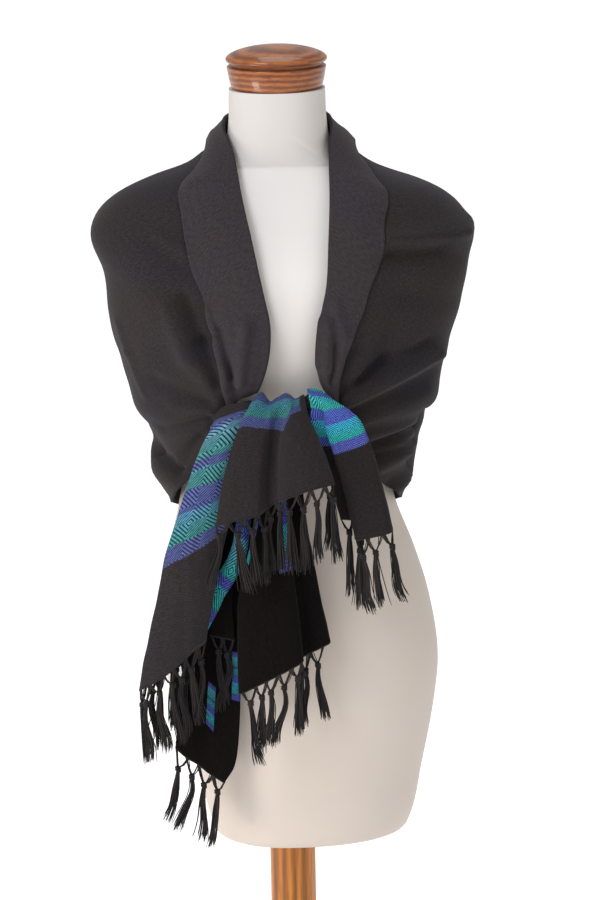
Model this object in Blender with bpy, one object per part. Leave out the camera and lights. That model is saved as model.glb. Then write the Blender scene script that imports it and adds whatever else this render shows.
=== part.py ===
"""A fringed shawl, worn round the shoulders of a limbless dress form and tied at the waist.

Metres, +Z up, the front of the form faces -Y. The origin is the centre of the base's
bottom face. Heights in the tables are above the bottom of the form's torso, and the
empty "torso_bottom" carries everything at that height.
"""

import math
from collections import namedtuple

import bmesh
import bpy
import numpy as np
from mathutils import Vector

# Driving sizes

CLOTH = 0.0014  # wall of the shawl's cloth
GAP = 0.0003  # between pieces that touch
FRINGE_DROP = 0.078  # from hem to the tassels' ends
TASSEL_PITCH = 0.0155  # along the hem
TASSEL_ROOT = 0.0042  # width at the hem
TURN_REACH = 0.006  # where the hem turns within this, it has no tassel

BASE_RADIUS = 0.165
BASE_HEIGHT = 0.024
BASE_EDGE = 0.008  # radius of the base's rounded upper edge
POLE_RADIUS = 0.026
POLE_SHOWN = 0.316  # between the base and the torso
SOCKET_DEPTH = 0.075  # how far the pole goes up into the torso
TORSO_BOTTOM = BASE_HEIGHT + POLE_SHOWN

NECK_TOP = 0.853
CAP_GROOVE = 0.0035

# The torso's sections: height, half widths left and right of the neck's axis, and the
# depths in front of it and behind. The hips stand a little to the right of the neck.

Section = namedtuple("Section", "z left right front back")
TORSO = [
    Section(0.000, 0.0830, 0.1240, 0.084, 0.090),
    Section(0.003, 0.0880, 0.1300, 0.090, 0.097),
    Section(0.010, 0.0910, 0.1345, 0.0945, 0.102),
    Section(0.077, 0.1080, 0.1505, 0.105, 0.117),
    Section(0.149, 0.1290, 0.1645, 0.112, 0.126),
    Section(0.205, 0.1430, 0.1700, 0.113, 0.129),
    Section(0.276, 0.1415, 0.1600, 0.110, 0.118),
    Section(0.330, 0.1335, 0.1440, 0.104, 0.101),
    Section(0.384, 0.1205, 0.1240, 0.097, 0.085),
    Section(0.440, 0.1125, 0.1135, 0.093, 0.077),
    Section(0.500, 0.1190, 0.1190, 0.098, 0.082),
    Section(0.560, 0.1320, 0.1320, 0.111, 0.092),
    Section(0.610, 0.1440, 0.1440, 0.119, 0.100),
    Section(0.655, 0.1600, 0.1600, 0.114, 0.105),
    Section(0.690, 0.1750, 0.1760, 0.100, 0.104),
    Section(0.715, 0.1770, 0.1780, 0.086, 0.099),
    Section(0.735, 0.1680, 0.1675, 0.074, 0.094),
    Section(0.749, 0.1421, 0.1415, 0.064, 0.087),
    Section(0.760, 0.1070, 0.1065, 0.057, 0.080),
    Section(0.772, 0.0740, 0.0750, 0.051, 0.071),
    Section(0.787, 0.0605, 0.0605, 0.049, 0.064),
    Section(0.806, 0.0555, 0.0555, 0.049, 0.060),
    Section(NECK_TOP, 0.0530, 0.0530, 0.050, 0.056),
]
TORSO_SQUARENESS = 2.25  # 2 is an ellipse
TORSO_SIDES = 40

# The surface that the shawl hangs on: half widths left and right of the axis, and depths

Level = namedtuple("Level", "z left right front back")
DRAPE = [
    Level(0.300, 0.124, 0.126, 0.1220, 0.134),
    Level(0.345, 0.125, 0.127, 0.1210, 0.129),
    Level(0.390, 0.1285, 0.1310, 0.1200, 0.122),
    Level(0.412, 0.1410, 0.1405, 0.1200, 0.118),
    Level(0.434, 0.1465, 0.1420, 0.1200, 0.114),
    Level(0.458, 0.1410, 0.1450, 0.1210, 0.111),
    Level(0.482, 0.1500, 0.1555, 0.1225, 0.109),
    Level(0.508, 0.1635, 0.1700, 0.1250, 0.108),
    Level(0.540, 0.1770, 0.1785, 0.1285, 0.108),
    Level(0.570, 0.1860, 0.1860, 0.1305, 0.110),
    Level(0.610, 0.1930, 0.2000, 0.1305, 0.114),
    Level(0.655, 0.1965, 0.2090, 0.1250, 0.118),
    Level(0.690, 0.2095, 0.2150, 0.1150, 0.117),
    Level(0.708, 0.2075, 0.2070, 0.1060, 0.113),
    Level(0.726, 0.1955, 0.1930, 0.0950, 0.107),
    Level(0.742, 0.1730, 0.1690, 0.0840, 0.100),
    Level(0.755, 0.1420, 0.1310, 0.0740, 0.092),
    Level(0.768, 0.1040, 0.1010, 0.0640, 0.084),
    Level(0.780, 0.0810, 0.0800, 0.0575, 0.076),
    Level(0.795, 0.0650, 0.0650, 0.0550, 0.070),
    Level(0.812, 0.0600, 0.0590, 0.0540, 0.067),
    Level(0.830, 0.0590, 0.0580, 0.0540, 0.066),
]
DRAPE_SQUARENESS = 2.3

# Where the collar's fold line crosses the front, left and right of the axis

FoldPoint = namedtuple("FoldPoint", "z left right")
FOLD_LINE = [
    FoldPoint(0.530, -0.0345, 0.0490),
    FoldPoint(0.550, -0.0255, 0.0430),
    FoldPoint(0.580, -0.0175, 0.0410),
    FoldPoint(0.610, -0.0155, 0.0440),
    FoldPoint(0.650, -0.0225, 0.0520),
    FoldPoint(0.697, -0.0320, 0.0555),
    FoldPoint(0.745, -0.0430, 0.0580),
    FoldPoint(0.790, -0.0510, 0.0575),
]

# The shawl's weft lines from the middle of the back (first) to the knot (last).
# Each runs from the fold line over "upper" and "lower" to the hem. Azimuths are in
# degrees from the middle of the back, and None takes the fold line's place.

Weft = namedtuple("Weft", "top_az top_z upper_az upper_z lower_az lower_z hem_az hem_z")
WEFTS = [
    Weft(0, 0.824, 0, 0.690, 0, 0.500, 0, 0.335),
    Weft(34, 0.824, 29, 0.700, 26, 0.505, 25, 0.338),
    Weft(64, 0.822, 57, 0.718, 51, 0.525, 49, 0.352),
    Weft(92, 0.818, 86, 0.722, 76, 0.540, 72, 0.372),
    Weft(None, 0.782, 110, 0.700, 98, 0.545, 93, 0.388),
    Weft(None, 0.730, 128, 0.660, 114, 0.535, 109, 0.398),
    Weft(None, 0.676, 142, 0.620, 129, 0.525, 123, 0.412),
    Weft(None, 0.622, 154, 0.585, 144, 0.516, 138, 0.435),
    Weft(None, 0.572, 163, 0.555, 157, 0.516, 153, 0.472),
    Weft(None, 0.538, 166, 0.529, 163.5, 0.513, 160, 0.494),
]

# How wide the turned-back collar is, from the middle of the back (0) to the knot (1)

CollarWidth = namedtuple("CollarWidth", "share width")
COLLAR = [
    CollarWidth(0.00, 0.052),
    CollarWidth(0.35, 0.050),
    CollarWidth(0.50, 0.052),
    CollarWidth(0.65, 0.066),
    CollarWidth(0.85, 0.073),
    CollarWidth(1.00, 0.070),
]
COLLAR_MOST = 0.42  # of the gathered width, next to the knot
COLLAR_GAP = 0.0015  # between the collar's edges and the wrap
COLLAR_EASE = 0.0030  # more than that over the gathers

# The wrap's largest folds, as lines seen from the front or the back: where each starts
# and ends, how far it stands out (or in), and how wide it is at both ends

Fold = namedtuple("Fold", "face x0 z0 x1 z1 height width0 width1")
FRONT, BACK = -1, 1
FOLDS = [
    Fold(FRONT, -0.052, 0.545, -0.088, 0.625, -0.0055, 0.006, 0.012),
    Fold(FRONT, -0.070, 0.535, -0.150, 0.665, 0.0080, 0.012, 0.034),
    Fold(FRONT, -0.075, 0.515, -0.165, 0.500, 0.0060, 0.010, 0.022),
    Fold(FRONT, -0.128, 0.452, -0.154, 0.452, -0.0070, 0.006, 0.008),
    Fold(FRONT, -0.110, 0.425, -0.155, 0.430, 0.0050, 0.012, 0.012),
    Fold(FRONT, 0.098, 0.560, 0.138, 0.640, -0.0060, 0.012, 0.018),
    Fold(FRONT, 0.068, 0.533, 0.182, 0.590, 0.0120, 0.009, 0.012),
    Fold(FRONT, 0.118, 0.700, 0.215, 0.703, 0.0050, 0.009, 0.010),
    Fold(FRONT, 0.110, 0.680, 0.200, 0.672, -0.0040, 0.010, 0.012),
    Fold(FRONT, 0.078, 0.500, 0.160, 0.512, 0.0060, 0.009, 0.012),
    Fold(FRONT, 0.095, 0.462, 0.152, 0.478, -0.0075, 0.007, 0.007),
    Fold(FRONT, 0.095, 0.440, 0.150, 0.452, 0.0060, 0.009, 0.009),
    Fold(FRONT, 0.105, 0.418, 0.148, 0.428, -0.0050, 0.007, 0.007),
    Fold(BACK, -0.165, 0.665, -0.060, 0.430, 0.0085, 0.020, 0.030),
    Fold(BACK, 0.165, 0.660, 0.045, 0.440, 0.0085, 0.020, 0.030),
    Fold(BACK, -0.120, 0.560, -0.020, 0.360, -0.0060, 0.018, 0.026),
    Fold(BACK, 0.125, 0.545, 0.015, 0.370, -0.0060, 0.018, 0.026),
    Fold(BACK, -0.075, 0.770, 0.075, 0.770, 0.0045, 0.016, 0.016),
    Fold(BACK, -0.150, 0.470, -0.095, 0.350, 0.0080, 0.018, 0.022),
    Fold(BACK, 0.150, 0.470, 0.090, 0.350, 0.0080, 0.018, 0.022),
]
GATHERS = 4  # pleats that run into the knot on each side
GATHER_HEIGHT = 0.0045
GATHER_REACH = 0.34  # share of each half over which they fade out

WRAP_COLUMNS = 27  # of each half of the wrap
STRETCHES = {  # of the wrap, each with its first and last column
    "wrap_left_chest": (0, 12),
    "wrap_left_arm": (12, 20),
    "wrap_back": (20, 32),
    "wrap_right_arm": (32, 40),
    "wrap_right_chest": (40, 52),
}
SEAM = 0.0004  # how far each stretch's end stands back from where they part

# The knot: the bundle that both ends of the shawl pass through

KnotRing = namedtuple("KnotRing", "x y z depth height")
KNOT = [
    KnotRing(-0.0540, -0.1250, 0.5215, 0.0012, 0.0020),
    KnotRing(-0.0505, -0.1280, 0.5205, 0.0035, 0.0050),
    KnotRing(-0.0420, -0.1330, 0.5195, 0.0080, 0.0090),
    KnotRing(-0.0335, -0.1350, 0.5185, 0.0100, 0.0115),
    KnotRing(-0.0240, -0.1350, 0.5170, 0.0108, 0.0130),
    KnotRing(-0.0145, -0.1350, 0.5150, 0.0108, 0.0108),
    KnotRing(0.0000, -0.1350, 0.5175, 0.0112, 0.0145),
    KnotRing(0.0130, -0.1350, 0.5160, 0.0110, 0.0125),
    KnotRing(0.0240, -0.1350, 0.5180, 0.0105, 0.0145),
    KnotRing(0.0305, -0.1350, 0.5230, 0.0100, 0.0167),
    KnotRing(0.0370, -0.1345, 0.5245, 0.0080, 0.0145),
    KnotRing(0.0440, -0.1310, 0.5250, 0.0050, 0.0085),
    KnotRing(0.0490, -0.1270, 0.5250, 0.0030, 0.0050),
    KnotRing(0.0518, -0.1246, 0.5245, 0.0012, 0.0020),
]
KNOT_SIDES = 16

# The hanging ends. Each panel that shows has its levels, from the knot to the hem, with
# the heights and places of its left and right edges and how deep its folds are there.
# Its folds follow in order across the cloth: the share of the way from the left edge to
# the right at the knot and where they have opened, the share of the depth behind the
# panel's front, and how far the cloth there is raised over the knot and at the hem.

Drop = namedtuple("Drop", "left_x right_x left_z right_z y depth open")
Crease = namedtuple("Crease", "top across back crest hem", defaults=(0, 0))

SHORT_FRONT_DROPS = [
    Drop(-0.0250, 0.0200, 0.5170, 0.5170, -0.1188, 0.0006, 0),
    Drop(-0.0270, 0.0215, 0.5320, 0.5320, -0.1218, 0.0008, 0),
    Drop(-0.0290, 0.0230, 0.5390, 0.5380, -0.1360, 0.0012, 0),
    Drop(-0.0370, 0.0260, 0.5300, 0.5300, -0.1570, 0.0045, 0.1),
    Drop(-0.0490, 0.0345, 0.5060, 0.5070, -0.1680, 0.0105, 0.75),
    Drop(-0.0640, 0.0450, 0.4620, 0.4790, -0.1800, 0.0160, 1),
    Drop(-0.0755, 0.0545, 0.4040, 0.4500, -0.1900, 0.0150, 1),
]
SHORT_FRONT_CREASES = [
    Crease(0.00, 0.00, 0.40, -0.003, 0.000),
    Crease(0.12, 0.08, 0.12, 0.000, 0.000),
    Crease(0.28, 0.24, 0.00, -0.010, -0.002),
    Crease(0.42, 0.36, 0.15, -0.006, -0.005),
    Crease(0.55, 0.45, 0.95, -0.001, -0.003),
    Crease(0.64, 0.51, 0.70, 0.000, 0.001),
    Crease(0.73, 0.59, -0.20, -0.002, 0.004),
    Crease(0.81, 0.79, -0.40, -0.006, 0.004),
    Crease(0.89, 0.97, 0.05, -0.005, 0.000),
    Crease(0.95, 0.99, 0.65, -0.003, -0.002),
    Crease(1.00, 0.90, 1.10, -0.002, 0.002),
]
SHORT_SIDE_DROPS = [
    Drop(0.0275, 0.0400, 0.5170, 0.5170, -0.1188, 0.0006, 0),
    Drop(0.0270, 0.0410, 0.5330, 0.5325, -0.1218, 0.0008, 0),
    Drop(0.0265, 0.0430, 0.5430, 0.5400, -0.1360, 0.0010, 0),
    Drop(0.0285, 0.0600, 0.5360, 0.5290, -0.1520, 0.0025, 0),
    Drop(0.0345, 0.0755, 0.5200, 0.5190, -0.1580, 0.0060, 0.3),
    Drop(0.0425, 0.0870, 0.5000, 0.5030, -0.1610, 0.0095, 0.8),
    Drop(0.0610, 0.1040, 0.4427, 0.4500, -0.1670, 0.0130, 1),
    Drop(0.0745, 0.1170, 0.3819, 0.3890, -0.1730, 0.0150, 1),
]
SHORT_SIDE_CREASES = [
    Crease(0.00, -0.34, 1.20, 0.000, 0.022),
    Crease(0.08, -0.05, 1.35, 0.000, 0.018),
    Crease(0.16, 0.24, 1.20, 0.000, 0.010),
    Crease(0.24, 0.20, 0.80, 0.000, 0.006),
    Crease(0.32, 0.02, 0.45, 0.001, 0.002),
    Crease(0.42, 0.08, 0.08, 0.001, 0.000),
    Crease(0.56, 0.35, -0.05, 0.002, 0.000),
    Crease(0.72, 0.70, 0.00, 0.001, 0.000),
    Crease(0.87, 0.94, 0.18, 0.000, 0.001),
    Crease(1.00, 1.00, 0.55, 0.000, 0.003),
]
LONG_STRIP_DROPS = [
    Drop(-0.0430, -0.0120, 0.5320, 0.5230, -0.1480, 0.0008, 0),
    Drop(-0.0680, -0.0200, 0.5250, 0.5130, -0.1514, 0.0035, 0),
    Drop(-0.0870, -0.0300, 0.5050, 0.4980, -0.1600, 0.0095, 0.3),
    Drop(-0.1010, -0.0450, 0.4615, 0.4577, -0.1680, 0.0140, 0.85),
    Drop(-0.1280, -0.0660, 0.3749, 0.3790, -0.1710, 0.0180, 1),
    Drop(-0.1480, -0.0800, 0.2900, 0.3180, -0.1700, 0.0200, 1),
    Drop(-0.1650, -0.0897, 0.2129, 0.2631, -0.1670, 0.0210, 1),
]
LONG_STRIP_CREASES = [
    Crease(0.00, 0.55, 1.10, 0.000, 0.012),
    Crease(0.10, 0.22, 1.00, 0.000, 0.004),
    Crease(0.19, 0.03, 0.75, 0.000, 0.000),
    Crease(0.28, 0.00, 0.35, 0.000, 0.000),
    Crease(0.37, 0.13, 0.08, 0.000, 0.000),
    Crease(0.50, 0.38, 0.00, 0.000, -0.002),
    Crease(0.64, 0.64, 0.20, 0.000, 0.000),
    Crease(0.77, 0.82, 0.45, 0.000, 0.002),
    Crease(0.89, 0.94, 0.75, 0.000, 0.000),
    Crease(1.00, 1.00, 1.00, 0.000, 0.000),
]
LONG_FRONT_DROPS = [
    Drop(-0.0230, 0.0180, 0.5028, 0.5028, -0.1390, 0.0010, 0),
    Drop(-0.0260, 0.0190, 0.4600, 0.4600, -0.1440, 0.0060, 0.2),
    Drop(-0.0331, 0.0225, 0.4005, 0.3980, -0.1520, 0.0130, 0.7),
    Drop(-0.0511, 0.0343, 0.3245, 0.3256, -0.1620, 0.0210, 1),
    Drop(-0.0550, 0.0420, 0.2640, 0.2880, -0.1680, 0.0250, 1),
    Drop(-0.0559, 0.0473, 0.2075, 0.2593, -0.1710, 0.0260, 1),
]
LONG_FRONT_CREASES = [
    Crease(0.00, 0.03, 0.62),
    Crease(0.08, 0.00, 0.35),
    Crease(0.16, 0.07, 0.08),
    Crease(0.28, 0.30, 0.00),
    Crease(0.41, 0.55, 0.02),
    Crease(0.51, 0.69, 0.16),
    Crease(0.59, 0.71, 0.50),
    Crease(0.67, 0.68, 0.80),
    Crease(0.75, 0.76, 1.02),
    Crease(0.84, 0.88, 0.92),
    Crease(0.93, 0.98, 0.95),
    Crease(1.00, 1.00, 1.20),
]
LONG_BACK_DROPS = [
    Drop(-0.0400, 0.0060, 0.5067, 0.5067, -0.1265, 0.0006, 1),
    Drop(-0.0700, -0.0250, 0.4000, 0.4000, -0.1220, 0.0040, 1),
    Drop(-0.1000, -0.0560, 0.3000, 0.3076, -0.1270, 0.0050, 1),
    Drop(-0.1180, -0.0573, 0.2200, 0.2061, -0.1290, 0.0060, 1),
    Drop(-0.1250, -0.0637, 0.1600, 0.1230, -0.1290, 0.0060, 1),
    Drop(-0.1280, -0.0777, 0.1350, 0.0930, -0.1290, 0.0060, 1),
]
LONG_BACK_CREASES = [
    Crease(0.00, 0.00, 0.60),
    Crease(0.22, 0.22, 0.00),
    Crease(0.45, 0.45, 0.75),
    Crease(0.70, 0.70, 0.10),
    Crease(1.00, 1.00, 0.40),
]
LONG_INNER_DROPS = [
    Drop(-0.0330, -0.0160, 0.5036, 0.5036, -0.1330, 0.0010, 1),
    Drop(-0.0520, -0.0370, 0.4050, 0.4000, -0.1390, 0.0050, 1),
    Drop(-0.0620, -0.0460, 0.3600, 0.3500, -0.1430, 0.0070, 1),
    Drop(-0.0900, -0.0720, 0.3190, 0.3030, -0.1430, 0.0060, 1),
    Drop(-0.1060, -0.0900, 0.2860, 0.2680, -0.1415, 0.0055, 1),
    Drop(-0.1260, -0.1100, 0.2490, 0.2290, -0.1395, 0.0060, 1),
]
LONG_INNER_CREASES = [
    Crease(0.00, 0.00, 1.00),
    Crease(0.20, 0.12, 0.30),
    Crease(0.50, 0.50, 0.00),
    Crease(0.80, 0.88, 0.30),
    Crease(1.00, 1.00, 1.00),
]
LONG_TUCK_DROPS = [
    Drop(-0.0300, -0.0120, 0.5052, 0.5052, -0.1290, 0.0004, 1),
    Drop(-0.0500, -0.0300, 0.4000, 0.4000, -0.1290, 0.0010, 1),
    Drop(-0.0800, -0.0580, 0.3200, 0.3250, -0.1310, 0.0012, 1),
    Drop(-0.0860, -0.0590, 0.2660, 0.2600, -0.1320, 0.0012, 1),
]
LONG_TUCK_CREASES = [
    Crease(0.00, 0.00, 0.80),
    Crease(0.30, 0.30, 0.00),
    Crease(0.65, 0.65, 0.50),
    Crease(1.00, 1.00, 0.10),
]

CHARCOAL = (0.021, 0.018, 0.019, 1)
OFF_WHITE = (0.760, 0.730, 0.690, 1)
STAINED_WOOD = (0.240, 0.075, 0.022, 1)
HONEY_WOOD = (0.480, 0.190, 0.050, 1)


def smooth(at, places, values):
    """A curve through values at places, which rise, with its slopes from their neighbours."""
    places = np.asarray(places, float)
    values = np.asarray(values, float).reshape(len(places), -1)
    steps = np.diff(places)[:, None]
    rises = np.diff(values, axis=0) / steps
    slopes = np.vstack([rises[:1], (rises[1:] + rises[:-1]) / 2, rises[-1:]])
    at = np.clip(np.atleast_1d(np.asarray(at, float)), places[0], places[-1])
    i = np.clip(np.searchsorted(places, at, side="right") - 1, 0, len(places) - 2)
    h = steps[i]
    t = ((at - places[i]) / h[:, 0])[:, None]
    return (
        values[i] * (1 + 2 * t) * (1 - t) ** 2
        + slopes[i] * h * t * (1 - t) ** 2
        + values[i + 1] * t**2 * (3 - 2 * t)
        + slopes[i + 1] * h * t**2 * (t - 1)
    )


def through(rows, samples):
    """Samples evenly spaced by row number on a curve through the rows."""
    rows = np.asarray(rows, float)
    return smooth(np.linspace(0, len(rows) - 1, samples), np.arange(len(rows)), rows)


def on_section(azimuth, left, right, front, back, squareness):
    """The point of a rounded section at an azimuth in radians from the middle of the back."""
    power = 2 / squareness
    s, c = np.sin(azimuth), np.cos(azimuth)
    x = np.where(s < 0, left, right) * np.sign(s) * np.abs(s) ** power
    y = np.where(c > 0, back, front) * np.sign(c) * np.abs(c) ** power
    return x, y


def on_drape(side, azimuth, z):
    """The point of the surface that the shawl hangs on. side is -1 left and 1 right."""
    sizes = smooth(z, [r.z for r in DRAPE], [r[1:] for r in DRAPE]).T
    x, y = on_section(side * azimuth, *sizes, DRAPE_SQUARENESS)
    return np.stack([x, y, z], axis=-1)


def fold_line_azimuth(side, z):
    """The azimuth at which the collar's fold line crosses height z on the front."""
    left, right = smooth(z, [r.z for r in FOLD_LINE], [r[1:] for r in FOLD_LINE])[0]
    level = smooth(z, [r.z for r in DRAPE], [r[1:] for r in DRAPE])[0]
    x, half = (-left, level[0]) if side < 0 else (right, level[1])
    return 180 - math.degrees(math.asin((x / half) ** (DRAPE_SQUARENESS / 2)))


def fold_height(points):
    """How far the table's folds lift the wrap at these points."""
    lift = np.zeros(len(points))
    for f in FOLDS:
        start = np.array([f.x0, f.z0])
        along = np.array([f.x1, f.z1]) - start
        seen = points[:, [0, 2]] - start
        share = np.clip(seen @ along / (along @ along), 0, 1)
        off = np.linalg.norm(seen - share[:, None] * along, axis=1)
        width = f.width0 + (f.width1 - f.width0) * share
        facing = np.clip(points[:, 1] * f.face / 0.03 + 0.5, 0, 1)
        lift += f.height * np.exp(-((off / width) ** 2)) * facing
    return lift


def normals_of(grid):
    """Unit normals of a grid of points, from its neighbours' directions."""
    down = np.gradient(grid, axis=0)
    across = np.gradient(grid, axis=1)
    normal = np.cross(down, across)
    return normal / np.maximum(np.linalg.norm(normal, axis=2, keepdims=True), 1e-12)


def wrap_side(side, across, along):
    """Half of the wrap, from the middle of the back to the knot: rows across the width."""
    lines = []
    for weft in WEFTS:
        top = weft.top_az
        if top is None:
            top = fold_line_azimuth(side, weft.top_z)
        lines.append((top, *weft[1:]))
    on_front = sum(weft.top_az is not None for weft in WEFTS)
    lengthwise = through(lines, along).reshape(along, 4, 2)
    grid = np.empty((across, along, 3))
    for j, place in enumerate(np.linspace(0, len(WEFTS) - 1, along)):
        corners = lengthwise[j]
        if place > on_front:
            corners[0, 0] = fold_line_azimuth(side, corners[0, 1])
        line = through(corners, across)
        grid[:, j] = on_drape(side, np.radians(line[:, 0]), line[:, 1])
    return grid


def wrap_surface(across, along):
    """The wrap's outer face, from the left knot round the back to the right one."""
    left, right = (wrap_side(side, across, along) for side in (-1, 1))
    grid = np.concatenate([left[:, ::-1], right[:, 1:]], axis=1)
    normal = normals_of(grid)
    outward = np.sign((normal[..., :2] * grid[..., :2]).sum())
    normal = normal * outward
    lift = fold_height(grid.reshape(-1, 3)).reshape(grid.shape[:2])
    near_knot = np.abs(np.linspace(-1, 1, grid.shape[1]))
    gather = np.clip((near_knot - (1 - GATHER_REACH)) / GATHER_REACH, 0, 1)
    gather = 3 * gather**2 * (1 - gather**2)
    waves = 0.5 - 0.5 * np.cos(2 * math.pi * GATHERS * np.linspace(0, 1, across))
    lift += GATHER_HEIGHT * waves[:, None] * gather[None, :]
    return grid + normal * lift[..., None], normal


def stretch_of(wrap, first, last):
    """The wrap's columns from first to last, each end inside the wrap moved in by SEAM."""
    part = wrap[:, first : last + 1].copy()
    for end, inwards in ((0, 1), (-1, -2)):
        if (first, last)[end] not in (0, wrap.shape[1] - 1):
            step = part[:, inwards] - part[:, end]
            part[:, end] += SEAM * step / np.linalg.norm(step, axis=1, keepdims=True)
    return part


def sheet(name, grid, material, parent, facing, thickness=CLOTH):
    """A wall of cloth whose outer face is the grid. facing is the outward direction at a point."""
    rows, columns = grid.shape[:2]
    points = grid.reshape(-1, 3)
    total = (normals_of(grid).reshape(-1, 3) * facing(points)).sum()
    faces = []
    for i in range(rows - 1):
        for j in range(columns - 1):
            a = i * columns + j
            quad = (a, a + columns, a + columns + 1, a + 1)
            faces.append(quad if total > 0 else quad[::-1])
    mesh = bpy.data.meshes.new(name)
    mesh.from_pydata(points.tolist(), [], faces)
    mesh.validate()
    mesh.shade_smooth()
    obj = placed(name, mesh, material, parent)
    wall = obj.modifiers.new("wall", "SOLIDIFY")
    wall.thickness = thickness
    wall.offset = -1
    return obj


def forwards(points):
    """The outward direction of a hanging panel: towards the front."""
    return np.tile([0.0, -1.0, 0.0], (len(points), 1))


def away_from_axis(points):
    """The outward direction of the wrap."""
    return points * [1, 1, 0]


def material_named(name, colour, roughness, metallic=0.0):
    """A plain finish in the part's colour."""
    material = bpy.data.materials.new(name)
    material.use_nodes = True
    shader = material.node_tree.nodes["Principled BSDF"]
    shader.inputs["Base Color"].default_value = colour
    shader.inputs["Roughness"].default_value = roughness
    shader.inputs["Metallic"].default_value = metallic
    return material


def placed(name, mesh, material, parent):
    """An object of this mesh, in the scene and on its parent."""
    obj = bpy.data.objects.new(name, mesh)
    mesh.materials.append(material)
    bpy.context.scene.collection.objects.link(obj)
    obj.parent = parent
    return obj


def turned(name, profile, material, parent, steps=48):
    """A round piece, from its profile of (radius, height) down the outside."""
    mesh = bpy.data.meshes.new(name)
    points = [(radius, 0, z) for radius, z in profile]
    mesh.from_pydata(points, [(i, i + 1) for i in range(len(points) - 1)], [])
    obj = placed(name, mesh, material, parent)
    screw = obj.modifiers.new("turned", "SCREW")
    screw.steps = steps
    screw.render_steps = steps
    screw.use_merge_vertices = True
    screw.merge_threshold = 0.0001
    screw.use_smooth_shade = True
    return obj


def skinned(name, rings, material, parent):
    """A closed body through rings of equally many points, the first and last ones capped."""
    body = bmesh.new()
    loops = [[body.verts.new(p) for p in ring] for ring in rings]
    for below, above in zip(loops, loops[1:]):
        for i in range(len(below)):
            j = (i + 1) % len(below)
            body.faces.new((below[i], below[j], above[j], above[i]))
    body.faces.new(loops[0][::-1])
    body.faces.new(loops[-1])
    bmesh.ops.recalc_face_normals(body, faces=body.faces)
    mesh = bpy.data.meshes.new(name)
    body.to_mesh(mesh)
    body.free()
    mesh.shade_smooth()
    mesh.set_sharp_from_angle(angle=math.radians(40))
    return placed(name, mesh, material, parent)


def torso(parent, material):
    """The padded torso and neck, with the pole's socket in its bottom face."""
    angles = np.linspace(0, 2 * math.pi, TORSO_SIDES, endpoint=False)
    socket = POLE_RADIUS + GAP
    rings = [
        [(socket * math.sin(a), socket * math.cos(a), z) for a in angles]
        for z in (SOCKET_DEPTH + GAP, 0)
    ]
    for row in TORSO:
        x, y = on_section(angles, *row[1:], TORSO_SQUARENESS)
        rings.append([(x[i], y[i], row.z) for i in range(TORSO_SIDES)])
    return skinned("torso", rings, material, parent)


def arc(radius, centre_r, centre_z, start, end, steps=5):
    """Profile points on an arc, angles in degrees from outwards, positive upwards."""
    for i in range(steps + 1):
        angle = math.radians(start + (end - start) * i / steps)
        yield centre_r + radius * math.cos(angle), centre_z + radius * math.sin(angle)


def neck_cap(parent, material):
    """The turned wooden cap: a tapered base, a groove and a domed lid."""
    bottom = NECK_TOP + GAP
    shoulder = bottom + 0.0250
    turned(
        "cap_base",
        [
            (0, shoulder + CAP_GROOVE),
            (0.0500, shoulder + CAP_GROOVE),
            (0.0500, shoulder),
            *arc(0.0015, 0.0533, shoulder - 0.0015, 90, 0, 2),
            (0.0498, bottom),
            (0, bottom),
        ],
        material,
        parent,
    )
    rim = shoulder + CAP_GROOVE + GAP
    rise, reach = 0.0145, 0.0560
    dome = [
        (reach * math.sin(t), rim + 0.0040 + rise * math.cos(t) ** 1.15)
        for t in np.linspace(0, math.pi / 2, 9)
    ]
    turned(
        "cap_lid",
        [*dome, (0.0552, rim + 0.0012), (0.0535, rim), (0, rim)],
        material,
        parent,
    )


def stand(parent, wood):
    """The pole and its round base, hung below the torso."""
    foot = -TORSO_BOTTOM
    base_top = foot + BASE_HEIGHT
    turned(
        "pole",
        [
            (0, SOCKET_DEPTH),
            (POLE_RADIUS - 0.002, SOCKET_DEPTH),
            (POLE_RADIUS, SOCKET_DEPTH - 0.002),
            (POLE_RADIUS, base_top + GAP),
            (0, base_top + GAP),
        ],
        wood,
        parent,
        steps=32,
    )
    turned(
        "base",
        [
            (0, base_top),
            *arc(BASE_EDGE, BASE_RADIUS - BASE_EDGE, base_top - BASE_EDGE, 90, 0, 4),
            (BASE_RADIUS, foot + 0.002),
            (BASE_RADIUS - 0.002, foot),
            (0, foot),
        ],
        wood,
        parent,
        steps=48,
    )


def knot(parent, material):
    """The bundle under the short end's fold, gathered to both sides."""
    rings = []
    for row in KNOT:
        ring = []
        for i in range(KNOT_SIDES):
            a = 2 * math.pi * i / KNOT_SIDES
            ring.append(
                (row.x, row.y + row.depth * math.cos(a), row.z + row.height * math.sin(a))
            )
        rings.append(ring)
    return skinned("knot", rings, material, parent)


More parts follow.
